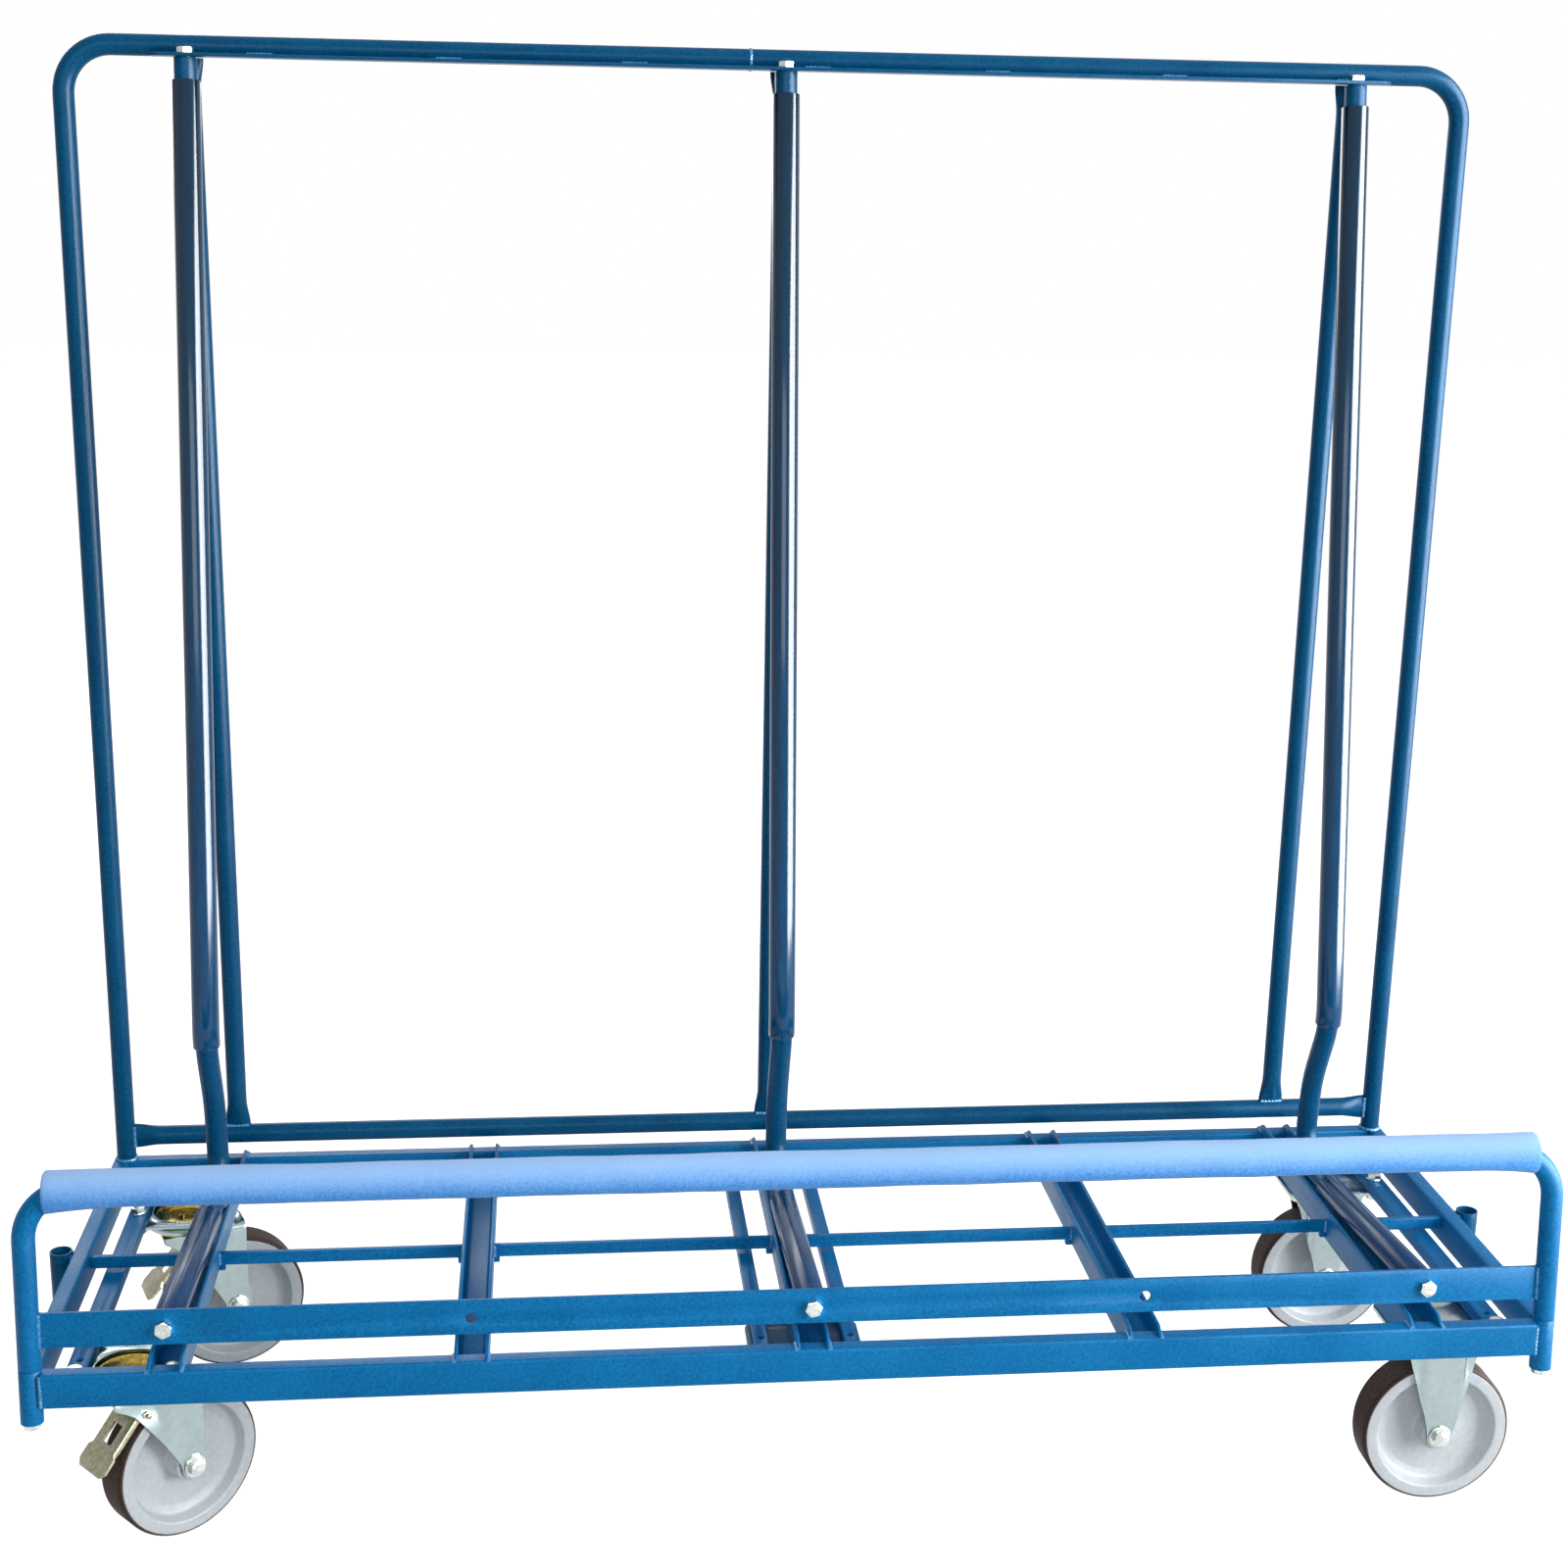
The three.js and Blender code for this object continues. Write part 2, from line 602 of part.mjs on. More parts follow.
// Brake pedal lying along -X from its pin, before it is tipped down
function makePedal() {
  const plate = polygon([
    [-8, -22], [-8, 22], [-54, 22], [-59, 27], [-76, 27], [-83, 20],
    [-83, -20], [-76, -27], [-59, -27], [-54, -22],
  ]);
  plate.holes.push(polygon([[-48, -8.5], [-48, 8.5], [-24, 8.5], [-24, -8.5]]));
  const flange = polygon([
    [4, -2], [4, 3], [-4, 6.9], [-56, 6.9], [-58, 2.5], [-50, 0.5], [-9, 0.5], [-4, -3.5], [1, -3.5],
  ]);
  return raised(plate, 4, 7)
    .add(alongY(flange, 19, 22))
    .add(alongY(flange, -22, -19))
    .add(crossRod(pinRadius, -cheekOuter + 0.5, cheekOuter - 0.5, 12));
}

[
  ['front_left', frontCasterY, frontSwivelAngle],
  ['rear_left', rearCasterY, rearSwivelAngle],
].forEach(([name, y, angle]) => {
  const plate = raised(plateShape(), plateBottomZ, plateTopZ)
    .add(rod(raceOuterRadius, raceBottomZ, plateBottomZ + 0.1, 32))
    .subtract(rod(raceInnerRadius, raceBottomZ - 10, plateTopZ + 10, 32));
  const cheek = polygon([[-34, crownTopZ], [-34, 190], [-12, 176], [swivelTrail - 38, 134]]);
  cheek.absarc(swivelTrail, wheelRadius, forkEndRadius, Math.PI * 0.92, Math.PI * 2);
  cheek.lineTo(swivelTrail + 14, 112);
  cheek.lineTo(swivelTrail + 14, crownTopZ);
  const pinHole = crossRod(pinRadius + gap, -50, 50).translate([pedalPivot[0], 0, pedalPivot[1]]);
  const fork = forkCheeks(cheek, swivelTrail)
    .subtract(pinHole)
    .add(box([-34, swivelTrail + 14], [-cheekOuter, cheekOuter], [crownBottomZ, crownTopZ]))
    .add(rod(raceInnerRadius - gap, crownTopZ - 1, raceBottomZ + 8, 32));
  const pedal = makePedal().rotate([0, -pedalSlope, 0]).translate([pedalPivot[0], 0, pedalPivot[1]]);
  const place = (body) => body.translate([-casterX, y, 0]);
  const turned = (body) => place(body.rotate([0, 0, angle]));
  addPiece(`${name}_plate`, place(plate), zinc);
  addPiece(`${name}_fork`, turned(fork), zinc);
  addPiece(`${name}_wheel`, turned(makeWheel().translate([swivelTrail, 0, wheelRadius])), wheelGrey);
  addPiece(`${name}_axle`, turned(makeAxle().translate([swivelTrail, 0, wheelRadius])), zinc);
  addPiece(`${name}_pedal`, turned(pedal), pedalGrey);
});

// Put the origin on the floor, under the middle of the cart
const extent = new THREE.Box3().setFromObject(cart);
const middle = extent.getCenter(new THREE.Vector3());
cart.children.forEach((mesh) => {
  mesh.geometry.translate(-middle.x, -middle.y, -extent.min.z);
  mesh.geometry.computeVertexNormals();
});

export default cart;
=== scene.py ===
# %% [markdown]
# # Sheet goods cart
# A steel base on four casters, a low front hoop in a foam sleeve, and three lean bars that
# stand up to a tall rear hoop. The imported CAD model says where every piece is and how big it
# is. This script gives each piece its rounded edges, welds and finish. All sizes are in metres.

# %% Load the frame
import json
import math
from functools import partial

import bmesh
import bpy
from mathutils import Matrix, Vector, noise


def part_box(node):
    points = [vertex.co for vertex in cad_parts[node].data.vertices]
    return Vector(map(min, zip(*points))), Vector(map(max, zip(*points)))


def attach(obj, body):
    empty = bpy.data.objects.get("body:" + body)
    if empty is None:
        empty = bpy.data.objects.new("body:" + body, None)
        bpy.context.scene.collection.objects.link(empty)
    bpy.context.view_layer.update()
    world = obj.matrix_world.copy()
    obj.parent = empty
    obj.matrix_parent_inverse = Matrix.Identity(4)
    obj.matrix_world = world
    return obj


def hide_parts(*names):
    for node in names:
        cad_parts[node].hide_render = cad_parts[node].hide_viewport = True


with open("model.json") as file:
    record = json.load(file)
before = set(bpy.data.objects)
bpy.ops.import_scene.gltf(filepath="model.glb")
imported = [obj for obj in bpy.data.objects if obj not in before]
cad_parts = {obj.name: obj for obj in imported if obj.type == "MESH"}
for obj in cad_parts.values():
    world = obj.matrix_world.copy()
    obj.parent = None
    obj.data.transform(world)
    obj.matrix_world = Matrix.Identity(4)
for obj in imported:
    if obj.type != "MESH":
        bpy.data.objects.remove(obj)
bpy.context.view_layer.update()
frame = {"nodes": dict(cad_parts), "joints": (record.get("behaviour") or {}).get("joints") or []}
scene = bpy.context.scene
MM = 0.001
east, north, up = Vector((1, 0, 0)), Vector((0, 1, 0)), Vector((0, 0, 1))
joints = {joint["name"]: joint for joint in frame["joints"]}

# %% [markdown]
# ## Camera
# The camera stood a little to the left at head height and looked slightly down and to the
# right. Its angles and focal length belong to an image of 1600 by 1600 pixels, and the lens is
# worked out from them. Euler angles or a Track To constraint could aim it. The matrix is built
# from three directions instead, which leaves no doubt about the order of the turns.

# %% Camera
CAMERA_PLACE = Vector((-0.2886, -2.5606, 1.5145))
CAMERA_YAW = 0.1067
CAMERA_PITCH = 0.255
CAMERA_ROLL = -0.0184
FOCAL_PIXELS = 2307.7
IMAGE_PIXELS = 1600
SENSOR_WIDTH = 36.0

ahead = Vector((
    math.sin(CAMERA_YAW) * math.cos(CAMERA_PITCH),
    math.cos(CAMERA_YAW) * math.cos(CAMERA_PITCH),
    -math.sin(CAMERA_PITCH),
))
level = Vector((math.cos(CAMERA_YAW), -math.sin(CAMERA_YAW), 0))
below = ahead.cross(level)
image_right = level * math.cos(CAMERA_ROLL) + below * math.sin(CAMERA_ROLL)
image_up = level * math.sin(CAMERA_ROLL) - below * math.cos(CAMERA_ROLL)
facing = Matrix((image_right, image_up, -ahead)).transposed().to_4x4()
camera_data = bpy.data.cameras.new("camera")
camera_data.sensor_width = SENSOR_WIDTH
camera_data.lens = SENSOR_WIDTH * FOCAL_PIXELS / IMAGE_PIXELS
camera = bpy.data.objects.new("camera", camera_data)
camera.matrix_world = Matrix.Translation(CAMERA_PLACE) @ facing
scene.collection.objects.link(camera)
scene.camera = camera
print("camera lens:", round(camera_data.lens, 2), "mm")

# %% [markdown]
# ## Making materials
# Colours are written as the sRGB hex values that a colour picker shows, and Blender wants
# linear light, so one function converts them. Nodes could be added with a line for each setting
# and each link. One function does that for a node of any kind, in shader trees and in Geometry
# Nodes trees, so that a finish takes a few short lines.

# %% Colour and node helpers
MIX_A, MIX_B, MIX_OUT = 6, 7, 2  # where a colour Mix node keeps its colours
NOISE_DETAIL = 3.0
PATCH_SHARE = 0.4  # how much the broad patches count beside the fine specks
TONE_SPAN = {"From Min": 0.5, "From Max": 0.9}  # where specks and patches together lie
PATCH_SPAN = {"From Min": 0.3, "From Max": 0.7}  # where the patches alone lie
FADE_SHARE = 0.8  # how far a fade goes over to its other colour


def linear(hex_colour):
    """An sRGB hex colour as linear red, green, blue and alpha."""
    parts = [int(hex_colour[i:i + 2], 16) / 255 for i in (1, 3, 5)]
    return (*[p / 12.92 if p <= 0.04045 else ((p + 0.055) / 1.055) ** 2.4 for p in parts], 1.0)


def add_node(tree, kind, inputs=None, **settings):
    """A new node with its inputs set or linked, where a node stands for its first output."""
    made = tree.nodes.new(kind)
    for name, value in settings.items():
        setattr(made, name, value)
    for key, value in (inputs or {}).items():
        if isinstance(value, bpy.types.Node):
            value = value.outputs[0]
        if isinstance(value, bpy.types.NodeSocket):
            tree.links.new(value, made.inputs[key])
        else:
            made.inputs[key].default_value = value
    return made


def start_nodes(owner):
    """Empties the tree of a new material or world, and returns what adds nodes to it."""
    owner.use_nodes = True
    owner.node_tree.nodes.clear()
    return partial(add_node, owner.node_tree)


def speckled(name, dark, light, speck, patch, rough, bump, stretch=(1, 1, 1), **shader):
    """A finish whose tone wanders in fine specks and broad patches, given in millimetres."""
    material = bpy.data.materials.new(name)
    add = start_nodes(material)
    place = add("ShaderNodeTexCoord").outputs["Object"]
    spread = add("ShaderNodeMapping", {"Vector": place, "Scale": stretch})
    fine, broad = [
        add("ShaderNodeTexNoise", {"Vector": way, "Scale": 1 / (size * MM), "Detail": NOISE_DETAIL})
        for way, size in ((spread, speck), (place, patch))
    ]
    tone = add("ShaderNodeMath", {0: broad, 1: PATCH_SHARE, 2: fine}, operation="MULTIPLY_ADD")
    share = add("ShaderNodeMapRange", {"Value": tone, **TONE_SPAN})
    tones = {0: share, MIX_A: linear(dark), MIX_B: linear(light)}
    colour = add("ShaderNodeMix", tones, data_type="RGBA").outputs[MIX_OUT]
    low, high = rough
    gloss = add("ShaderNodeMapRange", {"Value": broad, **PATCH_SPAN, "To Min": low, "To Max": high})
    relief = add("ShaderNodeBump", {"Height": fine, "Distance": bump * MM})
    look = {"Base Color": colour, "Roughness": gloss, "Normal": relief, **shader}
    add("ShaderNodeOutputMaterial", {"Surface": add("ShaderNodeBsdfPrincipled", look)})
    return material


def fade_upwards(material, faded, low, high):
    """Paints light or shade into a finish, as a pass into another colour between two heights."""
    tree = material.node_tree
    add = partial(add_node, tree)
    target = tree.nodes["Principled BSDF"].inputs["Base Color"]
    place = add("ShaderNodeTexCoord").outputs["Object"]
    height = add("ShaderNodeSeparateXYZ", {0: place}).outputs["Z"]
    span = {"From Min": low, "From Max": high, "To Max": FADE_SHARE}
    share = add("ShaderNodeMapRange", {"Value": height, **span})
    tones = {0: share, MIX_A: target.links[0].from_socket, MIX_B: linear(faded)}
    tree.links.new(add("ShaderNodeMix", tones, data_type="RGBA").outputs[MIX_OUT], target)

# %% [markdown]
# ## Paint
# The rails carry a blue powder coat: it is baked on and flows into a faint orange peel of
# about a millimetre and a half. One plain colour would do from afar, but near by it looks
# printed, so noise moves the tone in specks of the peel and in patches of a hand's width. The
# peel is finer than a pixel here and is drawn at three millimetres. It also breaks up the mirror
# image of the white room, so the specular level is well below that of a smooth coat. The round
# rear tubes show less of the light at once, and their copy of the same coat is painted darker,
# as painted shade. The centre plate lies low in shade, and its copy is painted darker still, as
# painted shade.

# %% Paint materials
ORANGE_PEEL = 3.0
HAND_WIDTH = 90
COAT = {"IOR": 1.5}
SATIN = {"Specular IOR Level": 0.1}
DULL = {"Specular IOR Level": 0.08}
PEEL = {"speck": ORANGE_PEEL, "patch": HAND_WIDTH, **COAT}

rail_paint = speckled(
    "powder_coat_blue", "#005D95", "#0678B3", rough=(0.34, 0.46), bump=0.1, **PEEL, **SATIN,
)
# Painted shade: the same blue coat as the rails, made darker for the round tubes.
shaded_tube_paint = speckled(
    "powder_coat_blue_painted_shade_tube", "#004068", "#005680", rough=(0.26, 0.36), bump=0.06, **PEEL, **DULL,
)
# Painted shade: the same blue coat, darker still, for the centre plate, which lies low in shade.
shaded_plate_paint = speckled(
    "powder_coat_blue_painted_shade_plate", "#163F60", "#20527A", rough=(0.36, 0.5), bump=0.1, **PEEL, **SATIN,
)
weld_paint = speckled("painted_weld", "#1A6DA6", "#5A9CCB", 5, 30, (0.28, 0.42), 0.12, **COAT)
print("paints:", rail_paint.name, shaded_tube_paint.name, shaded_plate_paint.name, weld_paint.name)

# %% [markdown]
# ## Plastic, foam and rubber
# The sleeves are extruded PVC pipe, smooth and glossy with long faint draw lines, so their
# specks are stretched along the pipe. The front sleeve is closed-cell polyethylene foam: its cut
# cells give a fine nap and no gloss. The wheel centres are moulded polyamide, and the treads are
# dark polyurethane, rolled matt. Image textures could show all this, but noise with a real size
# needs no picture and no unwrapping.

# %% Plastic, foam and rubber materials
PLASTIC = {"IOR": 1.53, **SATIN}
GLOSSY_SKIN = {"Coat Weight": 0.3, "Coat Roughness": 0.1}
FOAM_NAP = {"IOR": 1.45, "Sheen Weight": 0.15, "Sheen Roughness": 0.5, **SATIN}

sleeve_pvc = speckled(
    "extruded_pvc_navy", "#003E66", "#084C78", 4, 120, (0.10, 0.16), 0.01, (1, 1, 0.02),
    **PLASTIC, **GLOSSY_SKIN,
)
floor_pvc = speckled(
    "extruded_pvc_navy_scuffed", "#00305C", "#0A4878", 4, 60, (0.18, 0.3), 0.02, (1, 0.05, 1),
    **PLASTIC,
)
foam_cells = speckled(
    "polyethylene_foam_blue", "#2F84D8", "#62A8EE", 2.5, 60, (0.85, 0.95), 0.35, **FOAM_NAP,
)
wheel_nylon = speckled(
    "moulded_polyamide_grey", "#B4BBC0", "#C0C6CA", 6, 200, (0.36, 0.44), 0.02, **PLASTIC,
)
tread_rubber = speckled(
    "polyurethane_tread_dark", "#2B211D", "#4A3C36", 3, 50, (0.55, 0.75), 0.2, **COAT, **SATIN,
)
print("plastics:", sleeve_pvc.name, foam_cells.name, wheel_nylon.name, tread_rubber.name)

# %% [markdown]
# ## Zinc
# Forks, plates and bolts are zinc plated steel. Plating is a metal, so its colour lives in the
# reflection: a grey plastic with a bright coat could stand for it, but would look wrong from most
# sides. Cloudy patches keep it from looking chromed. The brake pedals and the ball races have a
# yellow passivation, one olive and worn, one golden.

# %% Zinc materials
FINGERTIP = 14
METAL = {"Metallic": 1.0}

zinc = speckled("zinc_plated_steel", "#95A4A5", "#9DABAC", 9, 60, (0.18, 0.24), 0.004, **METAL)
bolt_zinc = speckled(
    "zinc_plated_bolt", "#A9AEAC", "#CBCFCC", 3, FINGERTIP, (0.22, 0.36), 0.04, **METAL,
)
pedal_steel = speckled(
    "olive_passivated_steel", "#7C7A66", "#9C9982", 4, FINGERTIP, (0.3, 0.48), 0.06, **METAL,
)
race_zinc = speckled(
    "yellow_passivated_steel", "#9C8230", "#CDB462", 4, FINGERTIP, (0.22, 0.34), 0.04, **METAL,
)
print("metals:", zinc.name, bolt_zinc.name, pedal_steel.name, race_zinc.name)

# %% [markdown]
# ## From shapes to pieces
# Every piece ends the same way: a plain mesh at the origin with smooth shading up to a crease
# angle, a material, the CAD body that it moves with and the CAD nodes that it stands for. Live
# modifiers could stay on the pieces, but a plain mesh is the same in every program. A few small
# functions do that, so the cells below only describe shapes.

# %% Piece helpers
CREASE = math.radians(38)
SAME_PLANE = math.radians(1)
RIM_ANGLE = math.radians(60)
EDGE_SEGMENTS = 2
SAME_POINT = 1e-6
NEAR_POINT = SAME_POINT * 10


def middle(node):
    """The x, y and z of the middle of a CAD node's box."""
    return [(low + high) / 2 for low, high in zip(*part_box(node))]


def link_mesh(name, mesh):
    """A new object for a mesh, in the scene."""
    piece = bpy.data.objects.new(name, mesh)
    scene.collection.objects.link(piece)
    return piece


def piece_from(name, *shapes):
    """One object from one or more bmesh shapes, which are used up."""
    mesh = bpy.data.meshes.new(name)
    whole = bmesh.new()
    for shape in shapes:
        shape.to_mesh(mesh)
        shape.free()
        whole.from_mesh(mesh)
    whole.to_mesh(mesh)
    whole.free()
    return link_mesh(name, mesh)


def finished_mesh(thing):
    """The mesh that an object's modifiers or its curve settings make of it."""
    view = bpy.context.evaluated_depsgraph_get()
    return bpy.data.meshes.new_from_object(thing.evaluated_get(view))


def settle(piece):
    """Replaces the piece's mesh by what its modifiers make of it."""
    mesh = finished_mesh(piece)
    piece.modifiers.clear()
    piece.data = mesh
    return piece


def thicken(piece, wall, edge=0.0):
    """Gives an open skin its wall, inwards, and round edges where it ends."""
    solid = piece.modifiers.new("wall", "SOLIDIFY")
    solid.thickness = wall
    solid.offset = -1
    if edge:
        rim = piece.modifiers.new("rim", "BEVEL")
        rim.width = edge
        rim.segments = EDGE_SEGMENTS
        rim.limit_method = "ANGLE"
        rim.angle_limit = RIM_ANGLE
    return settle(piece)


def hand_over(piece, body, material=None, nodes=()):
    """Shades a finished piece, gives it its finish and joins it to the CAD frame."""
    if material is not None:
        piece.data.materials.clear()
        piece.data.materials.append(material)
    piece.data.shade_smooth()
    piece.data.set_sharp_from_angle(angle=CREASE)
    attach(piece, body)
    if nodes:
        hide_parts(*nodes)
    return piece


# %% Shape helpers
def circle_points(x, y, radius, count=32):
    """Points round a circle."""
    turns = [2 * math.pi * k / count for k in range(count)]
    return [(x + radius * math.cos(t), y + radius * math.sin(t)) for t in turns]


def clean(shape, near=NEAR_POINT):
    """Joins points that lie on one another, and turns all faces outwards."""
    bmesh.ops.remove_doubles(shape, verts=shape.verts, dist=near)
    bmesh.ops.recalc_face_normals(shape, faces=shape.faces)


def edged_copy(name, node, radius):
    """A copy of a CAD piece with flat faces joined up and its sharp edges rounded over."""
    shape = bmesh.new()
    shape.from_mesh(frame["nodes"][node].data)
    bmesh.ops.remove_doubles(shape, verts=shape.verts, dist=NEAR_POINT)
    bmesh.ops.dissolve_limit(shape, angle_limit=SAME_PLANE, verts=shape.verts, edges=shape.edges)
    sharp = [e for e in shape.edges if len(e.link_faces) == 2 and e.calc_face_angle() > CREASE]
    bmesh.ops.bevel(
        shape, geom=sharp, offset=radius, segments=EDGE_SEGMENTS, profile=0.5, affect="EDGES",
        clamp_overlap=True,
    )
    return piece_from(name, shape)


def bridge(shape, rows, closed=True):
    """Faces between each row of points and the next, where closed rows are rings."""
    for a, b in zip(rows, rows[1:]):
        for i in range(len(a) if closed else len(a) - 1):
            k = (i + 1) % len(a)
            shape.faces.new((a[i], a[k], b[k], b[i]))


def rounded_path(corners, bends, step=math.radians(6)):
    """Points along a line of corners, where each inner corner is an arc of its own radius."""
    corners = [Vector(c) for c in corners]
    path = [corners[0]]
    for before, corner, after, bend in zip(corners, corners[1:], corners[2:], bends):
        way_in = (corner - before).normalized()
        way_out = (after - corner).normalized()
        turn = way_in.angle(way_out)
        start = corner - way_in * bend * math.tan(turn / 2)
        side = (way_out - way_in * way_out.dot(way_in)).normalized()
        steps = max(2, round(turn / step))
        for k in range(steps + 1):
            angle = turn * k / steps
            path.append(start + side * bend * (1 - math.cos(angle)) + way_in * bend * math.sin(angle))
    return path + [corners[-1]]


def clip_path(path, axis, low, high):
    """The part of a path whose X, Y or Z, by number, lies between two values."""
    kept = []
    for a, b in zip(path, path[1:]):
        for limit in sorted((low, high), reverse=a[axis] > b[axis]):
            if (a[axis] - limit) * (b[axis] - limit) < 0:
                kept.append(a.lerp(b, (limit - a[axis]) / (b[axis] - a[axis])))
        if low <= b[axis] <= high:
            kept.append(b)
    return ([path[0]] if low <= path[0][axis] <= high else []) + kept


# %% [markdown]
# ## Tubes
# Bent steel tube follows a path. A curve with a bevel could be the tube, or a mesh that is
# extruded step by step. A Geometry Nodes tree that sweeps a circle along a chain of edges was
# chosen, because its radius, sides and caps are inputs, and one tree serves every tube. A
# Solidify modifier then gives the wall, which shows at open ends.

# %% Tube tree
TUBE_SIDES = 40
TUBE_RIM = 0.5 * MM


def new_tree(name, **inputs):
    """A geometry tree with named inputs, what adds nodes to it, and its inputs' sockets."""
    tree = bpy.data.node_groups.new(name, "GeometryNodeTree")
    for way in ("INPUT", "OUTPUT"):
        tree.interface.new_socket("Geometry", in_out=way, socket_type="NodeSocketGeometry")
    for label, kind in inputs.items():
        tree.interface.new_socket(label, in_out="INPUT", socket_type="NodeSocket" + kind)
    add = partial(add_node, tree)
    return tree, add, add("NodeGroupInput").outputs


def end_tree(add, geometry, finish):
    """Ends a tree: real geometry instead of instances, and a material."""
    real = add("GeometryNodeRealizeInstances", {"Geometry": geometry})
    dressed = add("GeometryNodeSetMaterial", {"Geometry": real, "Material": finish})
    add("NodeGroupOutput", {"Geometry": dressed})


def run_tree(name, mesh, tree, **values):
    """The piece that a tree makes of a mesh, with the tree's inputs set by identifier."""
    piece = link_mesh(name, mesh)
    modifier = piece.modifiers.new(tree.name, "NODES")
    modifier.node_group = tree
    for socket in tree.interface.items_tree:
        if socket.name in values:
            modifier[socket.identifier] = values[socket.name]
    return settle(piece)


def chain_mesh(name, *chains):
    """A mesh of edges only, one chain for each list of points."""
    points, edges = [], []
    for chain in chains:
        edges += [(len(points) + i, len(points) + i + 1) for i in range(len(chain) - 1)]
        points += chain
    mesh = bpy.data.meshes.new(name)
    mesh.from_pydata(points, edges, [])
    return mesh


tube_inputs = {"Radius": "Float", "Sides": "Int", "Capped": "Bool", "Finish": "Material"}
tube_tree, add, given = new_tree("tube along a path", **tube_inputs)
line = add("GeometryNodeMeshToCurve", {"Mesh": given["Geometry"]})
circle = {"Resolution": given["Sides"], "Radius": given["Radius"]}
ring = add("GeometryNodeCurvePrimitiveCircle", circle)
sweep = {"Curve": line, "Profile Curve": ring, "Fill Caps": given["Capped"]}
end_tree(add, add("GeometryNodeCurveToMesh", sweep), given["Finish"])


def tube(name, path, radius, material, wall=0.0):
    """A round tube along a path, open at its ends if it has a wall and capped if not."""
    size = {"Radius": radius, "Sides": TUBE_SIDES, "Capped": wall == 0.0}
    piece = run_tree(name, chain_mesh(name, path), tube_tree, Finish=material, **size)
    return thicken(piece, wall, TUBE_RIM) if wall else piece


def frame_tube(node, ending, path, radius, material, wall=0.0):
    """A tube on the cart's frame that stands for a CAD node."""
    return hand_over(tube(node + ending, path, radius, material, wall), "frame", nodes=[node])


print("tube tree:", len(tube_tree.nodes), "nodes")

# %% [markdown]
# ## Base rails
# The base is welded from rectangular tube, 40 by 20 with a 2 millimetre wall. Rolled tube has
# round corners of about 3 millimetres, and these catch the light along every rail. A box with a
# Bevel modifier would also be round at its ends, where real tube is sawn square. So each rail is
# a rounded rectangle, drawn out over the length of its CAD box.

# %% Base rails
RAIL_WALL = 2 * MM
RAIL_CORNER = 3.2 * MM
CORNER_STEPS = 5


def rounded_rectangle(half_x, half_y, corner):
    """Points round a rectangle with round corners, anticlockwise."""
    points = []
    for quarter, (sx, sy) in enumerate([(1, 1), (-1, 1), (-1, -1), (1, -1)]):
        for k in range(CORNER_STEPS + 1):
            angle = math.pi / 2 * (quarter + k / CORNER_STEPS)
            points.append((
                sx * (half_x - corner) + corner * math.cos(angle),
                sy * (half_y - corner) + corner * math.sin(angle),
            ))
    return points


def rail(node):
    """A rectangular tube that fills the CAD node's box."""
    low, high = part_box(node)
    half, centre = (high - low) / 2, (high + low) / 2
    along, across = (east, north) if half.x > half.y else (north, east)
    reach = half.dot(along)
    outline = rounded_rectangle(half.dot(across), half.z, RAIL_CORNER)
    section = [centre + across * x + up * y for x, y in outline]
    shape = bmesh.new()
    bridge(shape, [[shape.verts.new(p + along * d) for p in section] for d in (-reach, reach)])
    clean(shape)
    piece = thicken(piece_from(node + "_tube", shape), RAIL_WALL)
    return hand_over(piece, "frame", rail_paint, [node])


for node in ("front_rail", "rear_rail", "left_side_rail", "right_side_rail"):
    print("made", rail(node).name)

# %% [markdown]
# ## Channels, bars and plates
# Five channels cross the base, open upwards, with their leg ends cut at a slope, and bars run
# under them for the casters. They could be drawn again here, but their CAD shapes are right. So
# a cleaned copy of each only gets small round edges, as sheared and folded steel has. A sharp
# edge would catch no light at all.

# %% Channels, bars and plates
EDGE_ROUND = 0.8 * MM
channels = [f"cross_channel_{i}" for i in range(1, 6)]
caster_bars = [f"caster_bar_{i}" for i in range(1, 7)]
copied = [(node, rail_paint, "blue_paint_rail") for node in (*channels, *caster_bars, "mid_rail")]
copied.append(("top_strip", shaded_tube_paint, "blue_paint_tube"))
# The centre plate gets the darker copy of the coat, as painted shade.
copied.append(("centre_plate", shaded_plate_paint, "dark_paint_plate"))
for node, material, slot in copied:
    hand_over(edged_copy(node + "_steel", node, EDGE_ROUND), "frame", material, [node])
print("copied", len(copied), "pieces with round edges")

# %% [markdown]
# ## Front hoop
# The hoop leans back a little in its own plane, plugged into two short sockets that are welded
# to the front rail. It could be made upright and turned afterwards, but then all that sits on it
# would have to be turned too. A helper gives points in the leaning plane instead, so the tube,
# its flat bar, the bolts and the welds all lean alike.

# %% Front hoop
front_low, front_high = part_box("front_rail")
FRONT_Y, REAR_Y = [middle(node)[1] for node in ("front_rail", "rear_rail")]
RAIL_TOP, RAIL_BOTTOM = front_high.z, front_low.z
HOOP_SLOPE = 0.0815
HOOP_LEAN = math.atan(HOOP_SLOPE)
LEAN_PIVOT_Z = 220 * MM
TUBE_RADIUS = 12.5 * MM
TUBE_WALL = 2.2 * MM
HOOP_BEND = 57 * MM
POST_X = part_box("front_hoop")[1].x - TUBE_RADIUS
HOOP_TOP_Z = 470 * MM
SEAM_Z = 267 * MM
SEAM_GAP = 0.5 * MM
SOCKET_PLUG = 1 * MM
lean_up = Vector((0, math.sin(HOOP_LEAN), math.cos(HOOP_LEAN)))
lean_front = Vector((0, -math.cos(HOOP_LEAN), math.sin(HOOP_LEAN)))


def on_hoop(x, z, out=0.0):
    """A point in the hoop's leaning plane at a height, or some way in front of it."""
    return Vector((x, FRONT_Y + (z - LEAN_PIVOT_Z) * HOOP_SLOPE, z)) + lean_front * out


